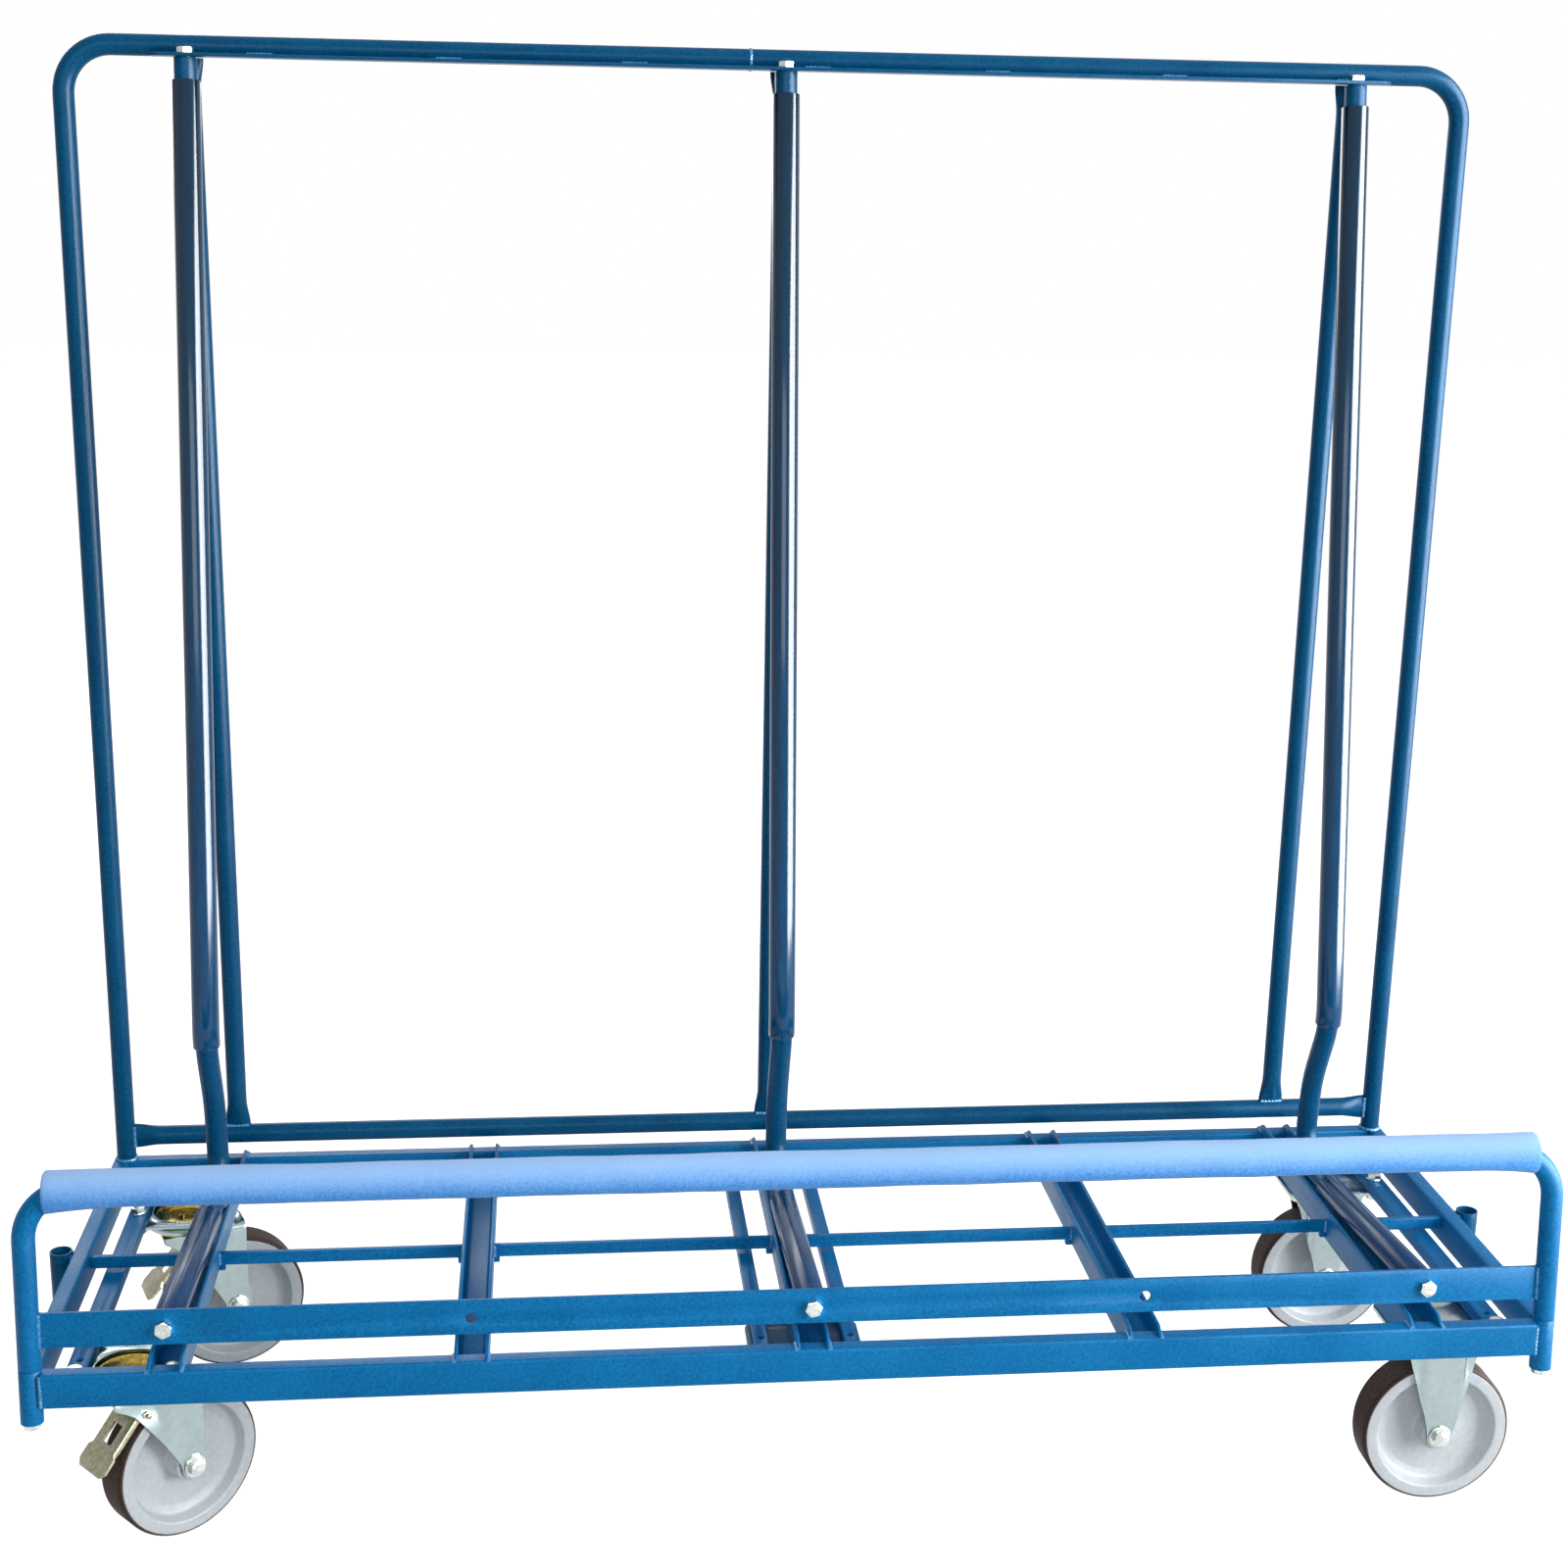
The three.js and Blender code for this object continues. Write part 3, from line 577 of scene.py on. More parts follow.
def hoop_tube(node, place, x, foot, top, material, wall=0.0):
    """A tube on two feet with two bends, where place gives the point for an x and a z."""
    corners = [place(*spot) for spot in ((-x, foot), (-x, top), (x, top), (x, foot))]
    path = rounded_path(corners, [HOOP_BEND, HOOP_BEND])
    return frame_tube(node, "_tube", path, TUBE_RADIUS, material, wall)


hoop_tube("front_hoop", on_hoop, POST_X, SEAM_Z + SEAM_GAP, HOOP_TOP_Z, rail_paint, TUBE_WALL)
for side, post_x in (("left", -POST_X), ("right", POST_X)):
    socket = "front_socket_" + side
    path = [on_hoop(post_x, z) for z in (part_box(socket)[0].z + SOCKET_PLUG, SEAM_Z)]
    frame_tube(socket, "_tube", path, TUBE_RADIUS, rail_paint, TUBE_WALL)
    socket = "stake_socket_" + side
    low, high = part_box(socket)
    x, y, _ = middle(socket)
    path = [Vector((x, y, z)) for z in (low.z, high.z)]
    frame_tube(socket, "_tube", path, (high.x - low.x) / 2, shaded_tube_paint, TUBE_WALL)
print("front hoop: posts at", round(POST_X, 4))

# %% [markdown]
# ## Flat bar with holes
# The flat across the hoop carries three bolts and has two spare holes. A Boolean modifier could
# cut them, but it leaves thin triangles that spoil the round edges. A flat curve fills its
# outline and leaves the holes open, and its bevel rounds every edge. It becomes a mesh before it
# is put in place.

# %% Flat bar
FLAT_Z = (291 * MM, 331 * MM)
FLAT_THICKNESS = 5 * MM
FLAT_SINK = 1 * MM
SPARE_HOLE_RADIUS = 6.5 * MM
BOLT_Z = 309.5 * MM


def cut_plate(name, outlines, thickness, place, edge=EDGE_ROUND):
    """A plate with its outer outline first and its holes after it, put in place by a matrix."""
    curve = bpy.data.curves.new(name, "CURVE")
    curve.dimensions = "2D"
    curve.fill_mode = "BOTH"
    curve.extrude = thickness / 2 - edge
    curve.bevel_depth = edge
    curve.bevel_resolution = 1
    curve.offset = -edge
    for points in outlines:
        spline = curve.splines.new("POLY")
        spline.points.add(len(points) - 1)
        for point, (x, y) in zip(spline.points, points):
            point.co = (x, y, 0, 1)
        spline.use_cyclic_u = True
    drawn = link_mesh(name + "_outline", curve)
    shape = bmesh.new()
    shape.from_mesh(finished_mesh(drawn))
    bpy.data.objects.remove(drawn)
    clean(shape)
    shape.transform(place)
    return piece_from(name, shape)


spare_x = middle("cross_channel_4")[0]
flat_half = POST_X - TUBE_RADIUS + FLAT_SINK
flat_tall = FLAT_Z[1] - FLAT_Z[0]
hole_up = (BOLT_Z - FLAT_Z[0]) / math.cos(HOOP_LEAN)
outline = [(-flat_half, 0), (flat_half, 0), (flat_half, flat_tall), (-flat_half, flat_tall)]
holes = [circle_points(x, hole_up, SPARE_HOLE_RADIUS) for x in (-spare_x, spare_x)]
flat_turn = Matrix((east, lean_up, east.cross(lean_up))).transposed().to_4x4()
flat_place = Matrix.Translation(on_hoop(0, FLAT_Z[0])) @ flat_turn
flat_bar = cut_plate("front_hoop_flat", [outline, *holes], FLAT_THICKNESS, flat_place)
hand_over(flat_bar, "frame", rail_paint)
print("flat bar:", len(flat_bar.data.polygons), "faces")

# %% [markdown]
# ## Lean bars and sleeves
# Each lean bar is one bent tube: it starts behind the flat bar, lies over a channel, turns up
# at the back and leans to the top strip. Two lengths of PVC pipe are pushed over it to keep its
# paint from being rubbed, and the upright ones get painted shade that darkens them towards the
# top. The sleeves could be drawn on their own, but cut from the bar's path they stay true to
# it.

# %% Lean bars and sleeves
LEAN_RADIUS = 13.45 * MM
SLEEVE_RADIUS = 16.5 * MM
SLEEVE_WALL = 2.4 * MM
LEG_LENGTH = 432 * MM
LEG_CLEAR = 3 * MM
KNEE = (428 * MM, 395 * MM)  # how far behind the front rail, and how high
HIP = (384 * MM, 488 * MM)
LEAN_TOP_Y = 537 * MM
TOP_CLEAR = 2 * MM
LEAN_BENDS = [50 * MM, 150 * MM, 100 * MM]
FLOOR_SLEEVE = (10 * MM, 315 * MM)
SLEEVE_SLANT = 2 * MM
Y_AXIS, Z_AXIS = 1, 2
strip_low, strip_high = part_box("top_strip")
lean_paths = []
for i in (1, 2, 3):
    foot_x = middle(f"front_bolt_{i}")[0]
    start = on_hoop(foot_x, BOLT_Z, -LEG_CLEAR)
    corner = start - lean_front * LEG_LENGTH
    knee, hip = [Vector((foot_x, FRONT_Y + y, z)) for y, z in (KNEE, HIP)]
    top = Vector((middle(f"top_bolt_{i}")[0], FRONT_Y + LEAN_TOP_Y, strip_low.z - TOP_CLEAR))
    path = rounded_path([start, corner, knee, hip, top], LEAN_BENDS)
    lean_paths.append(path)
    frame_tube(f"lean_bar_{i}", "_tube", path, LEAN_RADIUS, shaded_tube_paint)
    floor_y = start.y + FLOOR_SLEEVE[0]
    floor_path = clip_path(path[:2], Y_AXIS, floor_y, floor_y + FLOOR_SLEEVE[1])
    bend_end = next(k for k, p in enumerate(path) if p.z > knee.z)
    sleeve_low, sleeve_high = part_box(f"upright_sleeve_{i}")
    sleeve_ends = (sleeve_low.z + SLEEVE_SLANT, sleeve_high.z - SLEEVE_SLANT)
    upright_path = clip_path(path[bend_end:], Z_AXIS, *sleeve_ends)
    for node, cut, pvc in (("floor", floor_path, floor_pvc), ("upright", upright_path, sleeve_pvc)):
        frame_tube(f"{node}_sleeve_{i}", "_pipe", cut, SLEEVE_RADIUS, pvc, SLEEVE_WALL)
# Painted shade: the upright sleeves turn darker towards the top.
fade_upwards(sleeve_pvc, "#00202E", sleeve_low.z, sleeve_high.z)
print("lean bar path:", len(lean_paths[0]), "points")

# %% [markdown]
# ## Rear hoop
# The tall rear hoop stands on the rear rail. Its lower tube and its three uprights end in a
# pressed foot: the tube is squeezed flat where it is welded, and spreads sideways. A lattice
# could press it. A small function that moves the points near an end gives exact sizes and
# presses every foot alike, and the sweep itself stays round.

# %% Rear hoop
PRESS_REACH = 34 * MM
PRESS_STEP = 6 * MM
PRESS_SPREAD = 0.34
PRESS_FLATTEN = 0.55


def ease(t):
    """A share from 0 to 1 that starts and ends gently."""
    t = min(1.0, max(0.0, t))
    return t * t * (3 - 2 * t)


def pressed_tube(node, start, stop, spread_way):
    """A straight frame tube, pressed near both ends: wider one way and flatter across it."""
    length = (stop - start).length
    along = (stop - start).normalized()
    near = [k * PRESS_STEP for k in range(int(PRESS_REACH / PRESS_STEP) + 2)]
    path = [start.lerp(stop, d / length) for d in near + [length - d for d in reversed(near)]]
    piece = tube(node + "_pressed", path, TUBE_RADIUS, shaded_tube_paint)
    for end, into in ((start, along), (stop, -along)):
        for vertex in piece.data.vertices:
            offset = vertex.co - end
            depth = offset.dot(into)
            if depth < PRESS_REACH:
                share = ease(1 - depth / PRESS_REACH)
                out = offset - into * depth
                wide = spread_way * out.dot(spread_way)
                thin = (out - wide) * (1 - PRESS_FLATTEN * share)
                vertex.co = end + into * depth + wide * (1 + PRESS_SPREAD * share) + thin
    hand_over(piece, "frame", nodes=[node])


def on_rear(x, z):
    """A point in the rear hoop's plane."""
    return Vector((x, REAR_Y, z))


rear_low, rear_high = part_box("rear_hoop")
REAR_POST_X = rear_high.x - TUBE_RADIUS
REAR_TOP_Z = rear_high.z - TUBE_RADIUS
LOWER_Z = middle("rear_lower_tube")[2]
hoop_tube("rear_hoop", on_rear, REAR_POST_X, rear_low.z, REAR_TOP_Z, shaded_tube_paint)
pressed_tube("rear_lower_tube", *[on_rear(end.x, LOWER_Z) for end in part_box("rear_lower_tube")], up)
uprights = [f"rear_upright_{i}" for i in (1, 2, 3)]
for node in uprights:
    pressed_tube(node, *[on_rear(middle(node)[0], end.z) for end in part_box(node)], east)
print("rear hoop: posts at", round(REAR_POST_X, 4), "top at", round(REAR_TOP_Z, 4))

# %% [markdown]
# ## Foam sleeve
# A length of foam pipe is pushed over the front hoop. It is soft: it bulges a little here and
# there, its cut ends are rounded, and the bending tube pushes it down at both ends. A simulation
# could find that shape, but the bulges are small and simple. So a ring of points is moved along
# the tube, with slow noise for the bulges, and an inner ring follows the tube for the bore.

# %% Foam sleeve
foam_low, foam_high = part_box("foam_sleeve")
FOAM_RADIUS = 21 * MM
FOAM_BORE = TUBE_RADIUS + 0.3 * MM
FOAM_HALF = foam_high.x
FOAM_DROOP = 6 * MM
DROOP_REACH = 40 * MM
FOAM_EDGE = 3 * MM
FOAM_BULGE = 0.9 * MM
BULGES_PER_METRE = 14
FADE_START = 12 * MM
FOAM_RING = 40
FOAM_STEPS = 150
EDGE_TURNS = [math.radians(a) for a in (30, 60, 90)]
BORE_DEPTHS = [d * MM for d in (0, 3, 8, 14, 20, 27, 33, 45)]
straight_half = POST_X - HOOP_BEND
droop_start = straight_half - DROOP_REACH


def foam_ring(x, radius, bore=False):
    """One ring of points round the hoop's top at some x, where the bore follows the bent tube."""
    points = []
    past = max(0.0, abs(x) - droop_start) / (FOAM_HALF - droop_start)
    past_bend = max(0.0, abs(x) - straight_half)
    for across, upward in circle_points(0, 0, 1, FOAM_RING):
        front, rise = across * radius, upward * radius
        if bore:
            rise -= HOOP_BEND - math.sqrt(HOOP_BEND ** 2 - past_bend ** 2)
        else:
            spot = Vector((x * BULGES_PER_METRE, across, upward))
            swell = 1 + FOAM_BULGE / radius * noise.noise(spot)
            front, rise = front * swell, rise * swell
            rise -= FOAM_DROOP * past * past * max(0.0, -upward)
        points.append(on_hoop(x, HOOP_TOP_Z) + lean_front * front + lean_up * rise)
    return points


rings = []
for k in range(FOAM_STEPS + 1):
    rings.append(foam_ring((FOAM_HALF - FOAM_EDGE) * (2 * k / FOAM_STEPS - 1), FOAM_RADIUS))
for t in EDGE_TURNS:
    x = FOAM_HALF - FOAM_EDGE + FOAM_EDGE * math.sin(t)
    shrunk = FOAM_RADIUS - FOAM_EDGE * (1 - math.cos(t))
    rings.append(foam_ring(x, shrunk))
    rings.insert(0, foam_ring(-x, shrunk))
rings += [foam_ring(FOAM_HALF - d, FOAM_BORE, True) for d in BORE_DEPTHS]
rings += [foam_ring(d - FOAM_HALF, FOAM_BORE, True) for d in reversed(BORE_DEPTHS)]
shape = bmesh.new()
rows = [[shape.verts.new(p) for p in points] for points in rings]
bridge(shape, rows + rows[:1])
clean(shape)
foam = piece_from("foam_sleeve_soft", shape)
# Painted light: the foam turns paler towards its top and keeps a deeper blue underneath, as painted
# highlight and painted shade.
fade_upwards(foam_cells, "#A9CCF6", foam_low.z + FADE_START, foam_high.z)
hand_over(foam, "frame", foam_cells, ["foam_sleeve"])
print("foam sleeve:", len(foam.data.polygons), "faces")

# %% [markdown]
# ## Bolts
# The hoop and the strip are held by hexagon bolts, and the caster plates by smaller ones with
# nuts below. A cylinder with six sides could be the head, but the corners of a real one are
# turned away on top, so it is shaped from rings of points. A Geometry Nodes tree then sets it on
# points that carry their own direction, each turned by a different amount with a fixed seed.

# %% Bolt shapes
HEX_STEPS = 36
HEX_TURNED = 0.95  # where the turned top starts, as a share of half the width over flats
HEX_FALL = 0.6
HEX_DOME = (0.55, 0.02)  # the radius and the rise of the middle, as shares of the same half
STEM_SHARE = 0.31
EDGE_SHARE = 0.25
DISC_STEPS = 36
STEM_STEPS = 24
STEM_OVERLAP = 0.2 * MM


def turned(profile, steps):
    """A shape turned round Z from points that give a radius and a height."""
    shape = bmesh.new()
    columns = []
    for x, y in circle_points(0, 0, 1, steps):
        columns.append([shape.verts.new((r * x, r * y, h)) for r, h in profile])
    bridge(shape, columns + columns[:1], closed=False)
    clean(shape, SAME_POINT)
    return shape


def hex_head(flats, height, base):
    """A hexagon head that stands on a base height, with its top corners turned away."""
    half = flats / 2
    top = half * HEX_TURNED
    shape = bmesh.new()
    rows = [[], [], [], []]
    for k in range(HEX_STEPS):
        angle = 2 * math.pi * k / HEX_STEPS
        in_side = (angle + math.pi / 6) % (math.pi / 3) - math.pi / 6
        reach = half / math.cos(in_side)
        fall = (reach - top) * HEX_FALL
        dome = (half * HEX_DOME[0], height + half * HEX_DOME[1])
        for row, (r, z) in zip(rows, ((reach, 0), (reach, height - fall), (top, height), dome)):
            row.append(shape.verts.new((r * math.cos(angle), r * math.sin(angle), base + z)))
    bridge(shape, rows)
    shape.faces.new(rows[0][::-1])
    shape.faces.new(rows[-1])
    return shape


def bolt_pattern(name, flats, height, washer=None, shank=0.0):
    """A bolt to be set on points: its head, a washer as radius and thickness, and its shank."""
    shapes = [hex_head(flats, height, washer[1] if washer else 0.0)]
    if washer:
        radius, thick = washer
        edge = thick * EDGE_SHARE
        rim = [(radius - edge, 0), (radius, edge), (radius, thick - edge), (radius - edge, thick)]
        shapes.append(turned([(0, 0), *rim, (0, thick)], DISC_STEPS))
    if shank:
        stem = flats * STEM_SHARE
        tip = stem * EDGE_SHARE
        side = [(stem - tip, -shank), (stem, tip - shank), (stem, STEM_OVERLAP)]
        shapes.append(turned([(0, -shank), *side, (0, STEM_OVERLAP)], STEM_STEPS))
    return piece_from(name, *shapes)


# %% Bolt tree
bolt_tree, add, given = new_tree("bolts on points", Bolt="Object", Seed="Int", Finish="Material")
axis = add("GeometryNodeInputNamedAttribute", {"Name": "axis"}, data_type="FLOAT_VECTOR")
aim = add("FunctionNodeAlignRotationToVector", {"Vector": axis}, axis="Z")
turn = add("FunctionNodeRandomValue", {2: 0.0, 3: math.pi / 3, "Seed": given["Seed"]})
spin = add("FunctionNodeAxisAngleToRotation", {"Axis": up, "Angle": turn.outputs[1]})
pose = add("FunctionNodeRotateRotation", {0: aim, 1: spin}, rotation_space="LOCAL")
pattern = add("GeometryNodeObjectInfo", {"Object": given["Bolt"]}).outputs["Geometry"]
setting = {"Points": given["Geometry"], "Instance": pattern, "Rotation": pose}
end_tree(add, add("GeometryNodeInstanceOnPoints", setting), given["Finish"])


def set_bolts(name, bolt, places, body, nodes=(), seed=1):
    """Sets a zinc bolt on points, given as pairs of a point and a direction."""
    mesh = bpy.data.meshes.new(name)
    mesh.from_pydata([point for point, _ in places], [], [])
    ways = mesh.attributes.new("axis", "FLOAT_VECTOR", "POINT")
    for entry, (_, way) in zip(ways.data, places):
        entry.vector = way
    piece = run_tree(name, mesh, bolt_tree, Bolt=bolt, Seed=seed, Finish=bolt_zinc)
    return hand_over(piece, body, nodes=nodes)


print("bolt tree:", len(bolt_tree.nodes), "nodes")

# %% [markdown]
# ## Setting the bolts
# Three large bolts hold the flat bar, three hold the top strip, and one plugs each front socket
# from below. The caster plates have four smaller bolts each, with the heads on the bars and nuts
# of the same look under the plates. Copies could be placed one by one, but a list of points and
# directions is shorter and can be checked.

# %% Setting the bolts
BIG_FLATS, BIG_HEIGHT, BIG_SHANK = 17 * MM, 7 * MM, 16 * MM
SMALL_FLATS, SMALL_HEIGHT = 16 * MM, 6.4 * MM
SMALL_WASHER = (10 * MM, 1.5 * MM)
PLATE_HOLES = (52.5 * MM, 40 * MM)
PLATE_THICKNESS = 5 * MM
big_bolt = bolt_pattern("big_bolt", BIG_FLATS, BIG_HEIGHT, shank=BIG_SHANK)
small_bolt = bolt_pattern("small_bolt", SMALL_FLATS, SMALL_HEIGHT, SMALL_WASHER)
flat_out = FLAT_THICKNESS / 2
front_places = [(on_hoop(path[0].x, BOLT_Z, flat_out), lean_front) for path in lean_paths]
top_places = [(Vector((path[-1].x, path[-1].y, strip_high.z)), up) for path in lean_paths]
frame_bolts = [f"{end}_bolt_{i}" for end in ("front", "top") for i in (1, 2, 3)]
set_bolts("frame_bolts", big_bolt, front_places + top_places, "frame", frame_bolts, seed=3)
plug_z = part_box("front_socket_left")[0].z + SOCKET_PLUG
plug_places = [(on_hoop(x, plug_z), -lean_up) for x in (-POST_X, POST_X)]
set_bolts("socket_plug_bolts", big_bolt, plug_places, "frame", seed=5)
casters = {}
for end in ("front", "rear"):
    for side in ("left", "right"):
        axle = joints[f"{end}_{side}_wheel_spin"]
        pivot = joints[f"{end}_left_caster_swivel"] if side == "left" else axle
        centre = Vector((*pivot["pos_m"][:2], 0))
        casters[f"{end}_{side}"] = {
            "centre": centre,
            "angle": math.atan2(-axle["axis"][0], axle["axis"][1]),
            "trail": math.hypot(axle["pos_m"][0] - centre.x, axle["pos_m"][1] - centre.y),
            "axle_z": axle["pos_m"][2],
            "swivels": side == "left",
            "body": f"{end}_left_swivel" if side == "left" else "frame",
        }
corners = [(i * PLATE_HOLES[0], j * PLATE_HOLES[1]) for i in (-1, 1) for j in (-1, 1)]
bar_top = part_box("caster_bar_1")[1].z
plate_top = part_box("front_left_plate")[1].z
plate_under = plate_top - PLATE_THICKNESS
for name, z, way, seed in (("heads", bar_top, up, 7), ("nuts", plate_under, -up, 8)):
    places = [(c["centre"] + Vector((x, y, z)), way) for c in casters.values() for x, y in corners]
    set_bolts("caster_bolt_" + name, small_bolt, places, "frame", seed=seed)
print("bolts:", len(front_places + top_places + plug_places), "large,", len(places), "small")

# %% [markdown]
# ## Wheels
# A wheel is turned: a thin polyurethane tread on a polyamide centre with a raised rim, a
# dished web and a hub. A Screw modifier could turn it. The function that turns washers and
# shanks does it as well, so half a section is drawn with rounded corners, mirrored and turned
# once round. The tread and the centre are two shapes in one piece, each with its own material.

# %% Wheels
WHEEL_STEPS = 96
SECTION_STEP = math.radians(15)
HALF_RIM = [
    (7, 27), (20, 27), (22.5, 7), (58, 6), (68, 9), (72.5, 21.5), (74.5, 22.2), (86.2, 22.2),
    (86.2, 8),
]
RIM_ROUNDS = [1.5, 4, 8, 6, 1.5, 1.5, 1]
HALF_TREAD = [(86, 5), (86, 21.6), (88, 21.6), (90, 17), (90, 5)]
TREAD_ROUNDS = [0.2, 1.2, 3]


def ring_profile(half, rounds):
    """A closed section from half of one, given in millimetres, with its corners rounded."""
    points = [Vector((r * MM, h * MM, 0)) for r, h in half]
    soft = rounded_path(points, [r * MM for r in rounds], SECTION_STEP)
    whole = [(p.x, p.y) for p in soft] + [(p.x, -p.y) for p in reversed(soft)]
    return whole + whole[:1]


def caster_place(name, along=0.0, rise=0.0):
    """The matrix from a caster's own axes, X along the fork and Y along the axle, to the cart."""
    caster = casters[name]
    place = Matrix.Translation(caster["centre"]) @ Matrix.Rotation(caster["angle"], 4, "Z")
    return place @ Matrix.Translation((along, 0, rise))


lay_over = Matrix.Rotation(math.radians(-90), 4, "X")
for name, caster in casters.items():
    place = caster_place(name, caster["trail"], caster["axle_z"]) @ lay_over
    centre = turned(ring_profile(HALF_RIM, RIM_ROUNDS), WHEEL_STEPS)
    tread = turned(ring_profile(HALF_TREAD, TREAD_ROUNDS), WHEEL_STEPS)
    for face in tread.faces:
        face.material_index = 1
    for shape in (centre, tread):
        shape.transform(place)
    wheel = piece_from(name + "_wheel_turned", centre, tread)
    wheel.data.materials.append(wheel_nylon)
    wheel.data.materials.append(tread_rubber)
    hand_over(wheel, name + "_wheel_body", nodes=[name + "_wheel"])
print("wheels:", ", ".join(casters))

# %% [markdown]
# ## Forks
# A fork is pressed from one strip of steel: two cheeks and a web over the wheel, with folds
# down each cheek that stiffen it and a round end at the axle. It could be modelled by hand from a
# box. Here points are laid out in rows along the strip, from one axle end over the top to the
# other, because that is how the real one is formed. Each row is as wide as the cheek is at that
# height, and whatever lies outside the folds is set back. Solidify gives the sheet its thickness.

# %% Fork shape
SHEET = 4 * MM
SHEET_EDGE = 1 * MM
FORK_HALF = 32 * MM
FORK_CORNER = 9 * MM
LOBE_RADIUS = 15.5 * MM
LOBE_DEGREES = range(0, 91, 10)
CHEEK_ROWS = 14
CORNER_ROWS = 6
FORK_COLUMNS = 56
FOLD_RAMP = 8 * MM
SETBACKS = [(4 * MM, 110 * MM, 140 * MM), (5 * MM, 150 * MM, 185 * MM)]  # a depth and its heights


def setback(z):
    """How far a cheek is set back outside its folds, little beside the wheel and more above it."""
    return sum(depth * ease((z - start) / (end - start)) for depth, start, end in SETBACKS)


def along_edge(points, z):
    """The x of a broken line at some height, from points given top first in millimetres."""
    for (x0, z0), (x1, z1) in zip(points, points[1:]):
        if z >= z1 * MM:
            return (x0 + (x1 - x0) * (z0 * MM - z) / ((z0 - z1) * MM)) * MM
    return points[-1][0] * MM


def fork_rows(top, axle_z):
    """Places and outward directions from one axle end, over the web, to the other."""
    rise = [axle_z - LOBE_RADIUS * math.cos(math.radians(a)) for a in LOBE_DEGREES]
    rise += [axle_z + (top - FORK_CORNER - axle_z) * k / CHEEK_ROWS for k in range(1, CHEEK_ROWS + 1)]
    side = [(-FORK_HALF, z, -1.0, 0.0) for z in rise]
    for k in range(1, CORNER_ROWS + 1):
        angle = math.pi / 2 * k / CORNER_ROWS
        across, upward = math.cos(angle), math.sin(angle)
        y, z = -FORK_HALF + FORK_CORNER * (1 - across), top - FORK_CORNER * (1 - upward)
        side.append((y, z, -across, upward))
    return side + [(-y, z, -ny, nz) for y, z, ny, nz in reversed(side)]


def pressed_fork(name, top, axle_x, axle_z, left, right, folds):
    """A fork whose cheeks lie between two edges and stand proud between two fold lines."""
    shape = bmesh.new()
    grid = []
    for y, z, ny, nz in fork_rows(top, axle_z):
        low_x, high_x = along_edge(left, z), along_edge(right, z)
        if z < axle_z:
            reach = math.sqrt(max(0.0, LOBE_RADIUS ** 2 - (axle_z - z) ** 2))
            low_x, high_x = max(low_x, axle_x - reach), min(high_x, axle_x + reach)
        row = []
        for k in range(FORK_COLUMNS + 1):
            x = low_x + (high_x - low_x) * k / FORK_COLUMNS
            past_fold = max(along_edge(folds[0], z) - x, x - along_edge(folds[1], z)) / FOLD_RAMP
            back = setback(z) * ease(past_fold)
            row.append(shape.verts.new((x, y - ny * back, z - nz * back)))
        grid.append(row)
    bridge(shape, grid, closed=False)
    bmesh.ops.remove_doubles(shape, verts=shape.verts, dist=NEAR_POINT)
    return thicken(piece_from(name, shape), SHEET, SHEET_EDGE)


# %% Forks
FIXED_EDGE = [
    (50, 230), (50, 214), (41, 189), (34.5, 165), (27.7, 140), (20.5, 116), (15.2, 92), (15.2, 60),
]
FIXED_FOLD = [(21.5, 230), (20, 60)]
SWIVEL_LEFT = [(-34, 230), (-34, 190), (-12, 176), (18, 134), (40.8, 94), (40.8, 60)]
SWIVEL_RIGHT = [(70, 230), (70, 112), (71.2, 90), (71.2, 60)]
SWIVEL_FOLDS = [[(24, 230), (26, 60)], [(84, 230), (84, 60)]]
CROWN_TOP = 206 * MM


def mirrored(points):
    """A broken line on the other side of the middle."""
    return [(-x, z) for x, z in points]


fixed_cheek = (mirrored(FIXED_EDGE), FIXED_EDGE, [mirrored(FIXED_FOLD), FIXED_FOLD])
swivel_cheek = (SWIVEL_LEFT, SWIVEL_RIGHT, SWIVEL_FOLDS)
for side, top, cheek in (("right", plate_under, fixed_cheek), ("left", CROWN_TOP, swivel_cheek)):
    for name in ("front_" + side, "rear_" + side):
        caster = casters[name]
        fork = pressed_fork(name + "_fork_pressed", top, caster["trail"], caster["axle_z"], *cheek)
        fork.data.transform(caster_place(name))
        hand_over(fork, caster["body"], zinc, [name + "_fork"])
        print("fork:", fork.name, len(fork.data.polygons), "faces")

# %% [markdown]
# ## Caster plates and swivel heads
# Each caster hangs from a plate of 132 by 104 millimetres. The plates of the two swivelling
# casters carry a ball race: a turned ring below the plate, and a golden dish that turns with the
# fork and shows through the hole. The plates are flat curves, as the flat bar is. The race could
# be a stack of cylinders, but a drawn section gives its lips and steps in one shape.

# %% Caster plates and swivel heads
PLATE_HALF = (66 * MM, 52 * MM)
PLATE_CORNER = 10 * MM
PLATE_HOLE = (5.5 * MM, 20)  # a radius and a number of points
RACE_HOLE = (40 * MM, 64)
RACE_STEPS = 72
RACE_SECTION = [
    (40, 219.6), (40, 209.5), (41.5, 208), (48.5, 208), (51, 210.5), (51, 214), (54, 217.5),
    (57, 219.6), (40, 219.6),
]
DISH_SECTION = [
    (9, 205), (9, 213), (12, 214), (20, 214), (23, 212.5), (29, 212.5), (33, 216), (35.5, 219.5),
    (37.5, 220.2), (38.6, 219), (38.6, 207.5), (45, 207), (45, 205.6), (9, 205),
]


def turned_piece(name, section, steps, place):
    """A turned piece from a section in millimetres, put in place by a matrix."""
    shape = turned([(r * MM, h * MM) for r, h in section], steps)
    shape.transform(place)
    return piece_from(name, shape)


